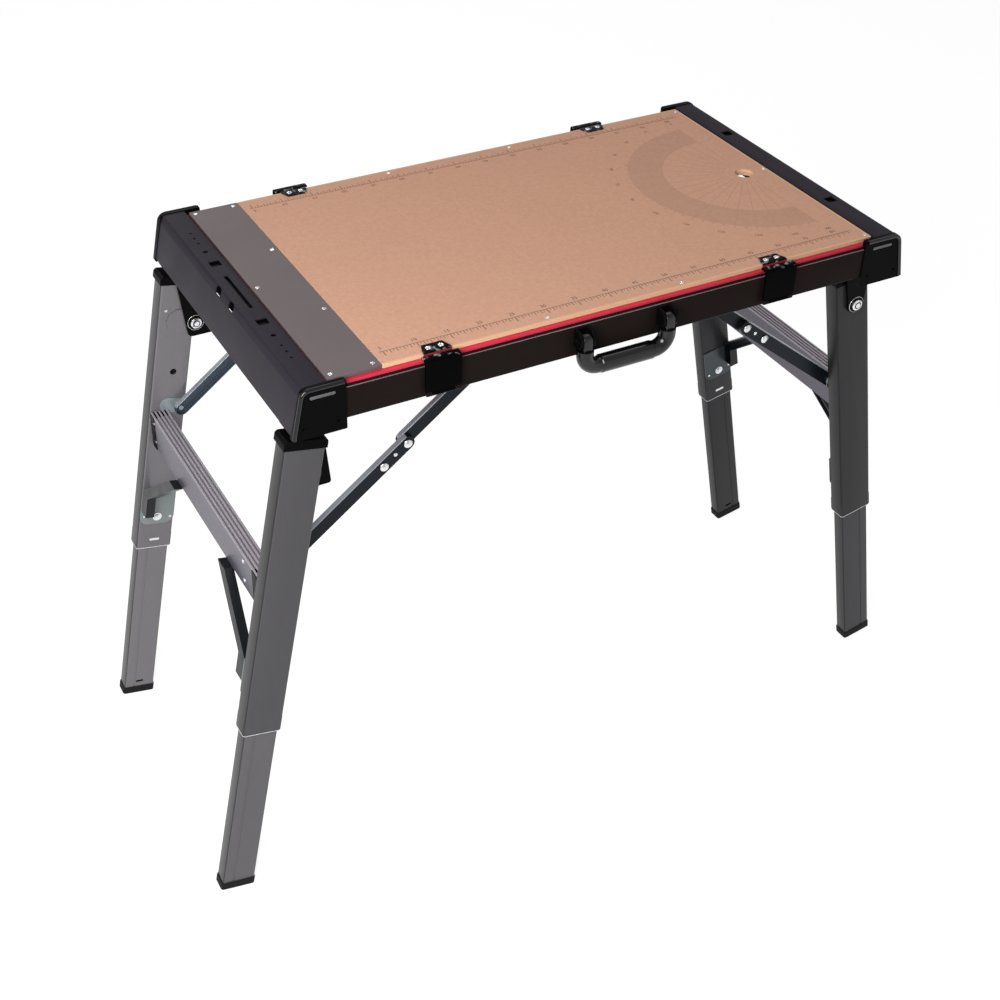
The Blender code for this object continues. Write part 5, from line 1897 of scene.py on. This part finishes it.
@dataclass
class Studio:
    """Camera, lamps, floor and surroundings.

    Args:
        eye: the camera's place.
        across: the image's rightward direction.
        upward: the image's upward direction.
        lens: focal length for a 36 mm sensor.
        shift: the camera's shift along the image's two axes.
        floor_colour: the floor's own colour, which takes the shadow.
        floor_glow: strength of the white that the camera and the gloss see on it besides.
        lamps: place, size and power of each lamp.
        target: the point that the lamps look at.
        ambient: strength of the light from all round.
        gloss: share of the white surroundings that the gloss sees.
    """

    eye: Vec = (-1.11051, -1.87005, 2.01802)
    across: Vec = (0.89077, -0.45441, 0.00665)
    upward: Vec = (0.26136, 0.52420, 0.81051)
    lens: float = 57.77
    shift: tuple[float, float] = (0.0589, -0.0316)
    floor_colour: Colour = (0.30, 0.30, 0.30)
    floor_glow: float = 0.86
    lamps: dict[str, tuple[Vec, float, float]] = field(default_factory=lambda: {
        "key": ((-1.50, -1.28, 1.80), 1.2, 54.0),
        "fill": ((1.6, -2.6, 1.2), 2.0, 5.0),
        "rim": ((-0.4, 2.8, 2.6), 2.2, 14.0),
        "top": ((0.75, 0.15, 2.4), 0.6, 1.5),
    })
    target: Vec = (0.0, 0.0, 0.6)
    ambient: float = 0.34
    gloss: float = 0.35

    def camera(self) -> None:
        """Make the camera at the photograph's viewpoint."""
        right = unit(self.across)
        up = unit(np.array(self.upward) - right * np.dot(right, self.upward))
        camera = bpy.data.cameras.new("camera")
        camera.lens = self.lens
        camera.sensor_width = 36.0
        camera.shift_x, camera.shift_y = self.shift
        camera.clip_end = 50.0
        bpy.context.scene.camera = place_thing("camera", camera,
                                               set_up(right, up, np.cross(right, up), self.eye))

    def lights(self) -> None:
        """Make large soft lamps that look at the target."""
        for name, (place, size, power) in self.lamps.items():
            lamp = bpy.data.lights.new(name, "AREA")
            lamp.shape = "SQUARE"
            lamp.size = size
            lamp.energy = power
            back = unit(np.array(place) - self.target)
            side = unit(np.cross((0.0, 0.0, 1.0), back))
            place_thing(name, lamp, set_up(side, np.cross(back, side), back, place))

    def floor(self) -> None:
        """Make the pale floor, which the camera and the gloss see glow."""
        half = 6.0
        mesh = bpy.data.meshes.new("floor")
        corners = [(-half, -half, 0.0), (half, -half, 0.0), (half, half, 0.0), (-half, half, 0.0)]
        mesh.from_pydata(corners, [], [(0, 1, 2, 3)])
        shader = Shader(bpy.data.materials.new("floor"))
        shader.set(Roughness=0.9, Specular_IOR_Level=0.0, Base_Color=(*self.floor_colour, 1.0),
                   Emission_Color=(1.0, 1.0, 1.0, 1.0))
        camera, glossy = shader.rays()
        shader.feed("Emission Strength", glossy.either(camera) * self.floor_glow)
        mesh.materials.append(shader.owner)
        floor = place_thing("floor", mesh)

    def world(self) -> None:
        """Make surroundings that the camera sees as white and the gloss as pale grey."""
        world = bpy.data.worlds.new("studio")
        bpy.context.scene.world = world
        shader = Shader(world, "Background")
        shader.set(Color=(1.0, 1.0, 1.0, 1.0))
        camera, glossy = shader.rays()
        seen = camera.either(glossy * self.gloss)
        shader.feed("Strength", shader.node("ShaderNodeMapRange", inputs={
            "Value": seen, "To Min": self.ambient, "To Max": 1.0}))

    def build(self) -> None:
        """Set the studio up."""
        self.camera()
        self.lights()
        self.floor()
        self.world()
        bpy.context.scene.view_settings.view_transform = "Standard"


def main() -> None:
    """Build the studio and the table."""
    logging.basicConfig(level=logging.INFO, format="%(message)s")
    add_leg_finishes()
    Studio().build()
    Worktop().build()
    DeckFrame().build()
    Clips().build()
    CarryHandle().build()
    for line in LEG_LINES.values():
        LegFrame(line).build()
    Stays().build()


if __name__ == "__main__":
    main()
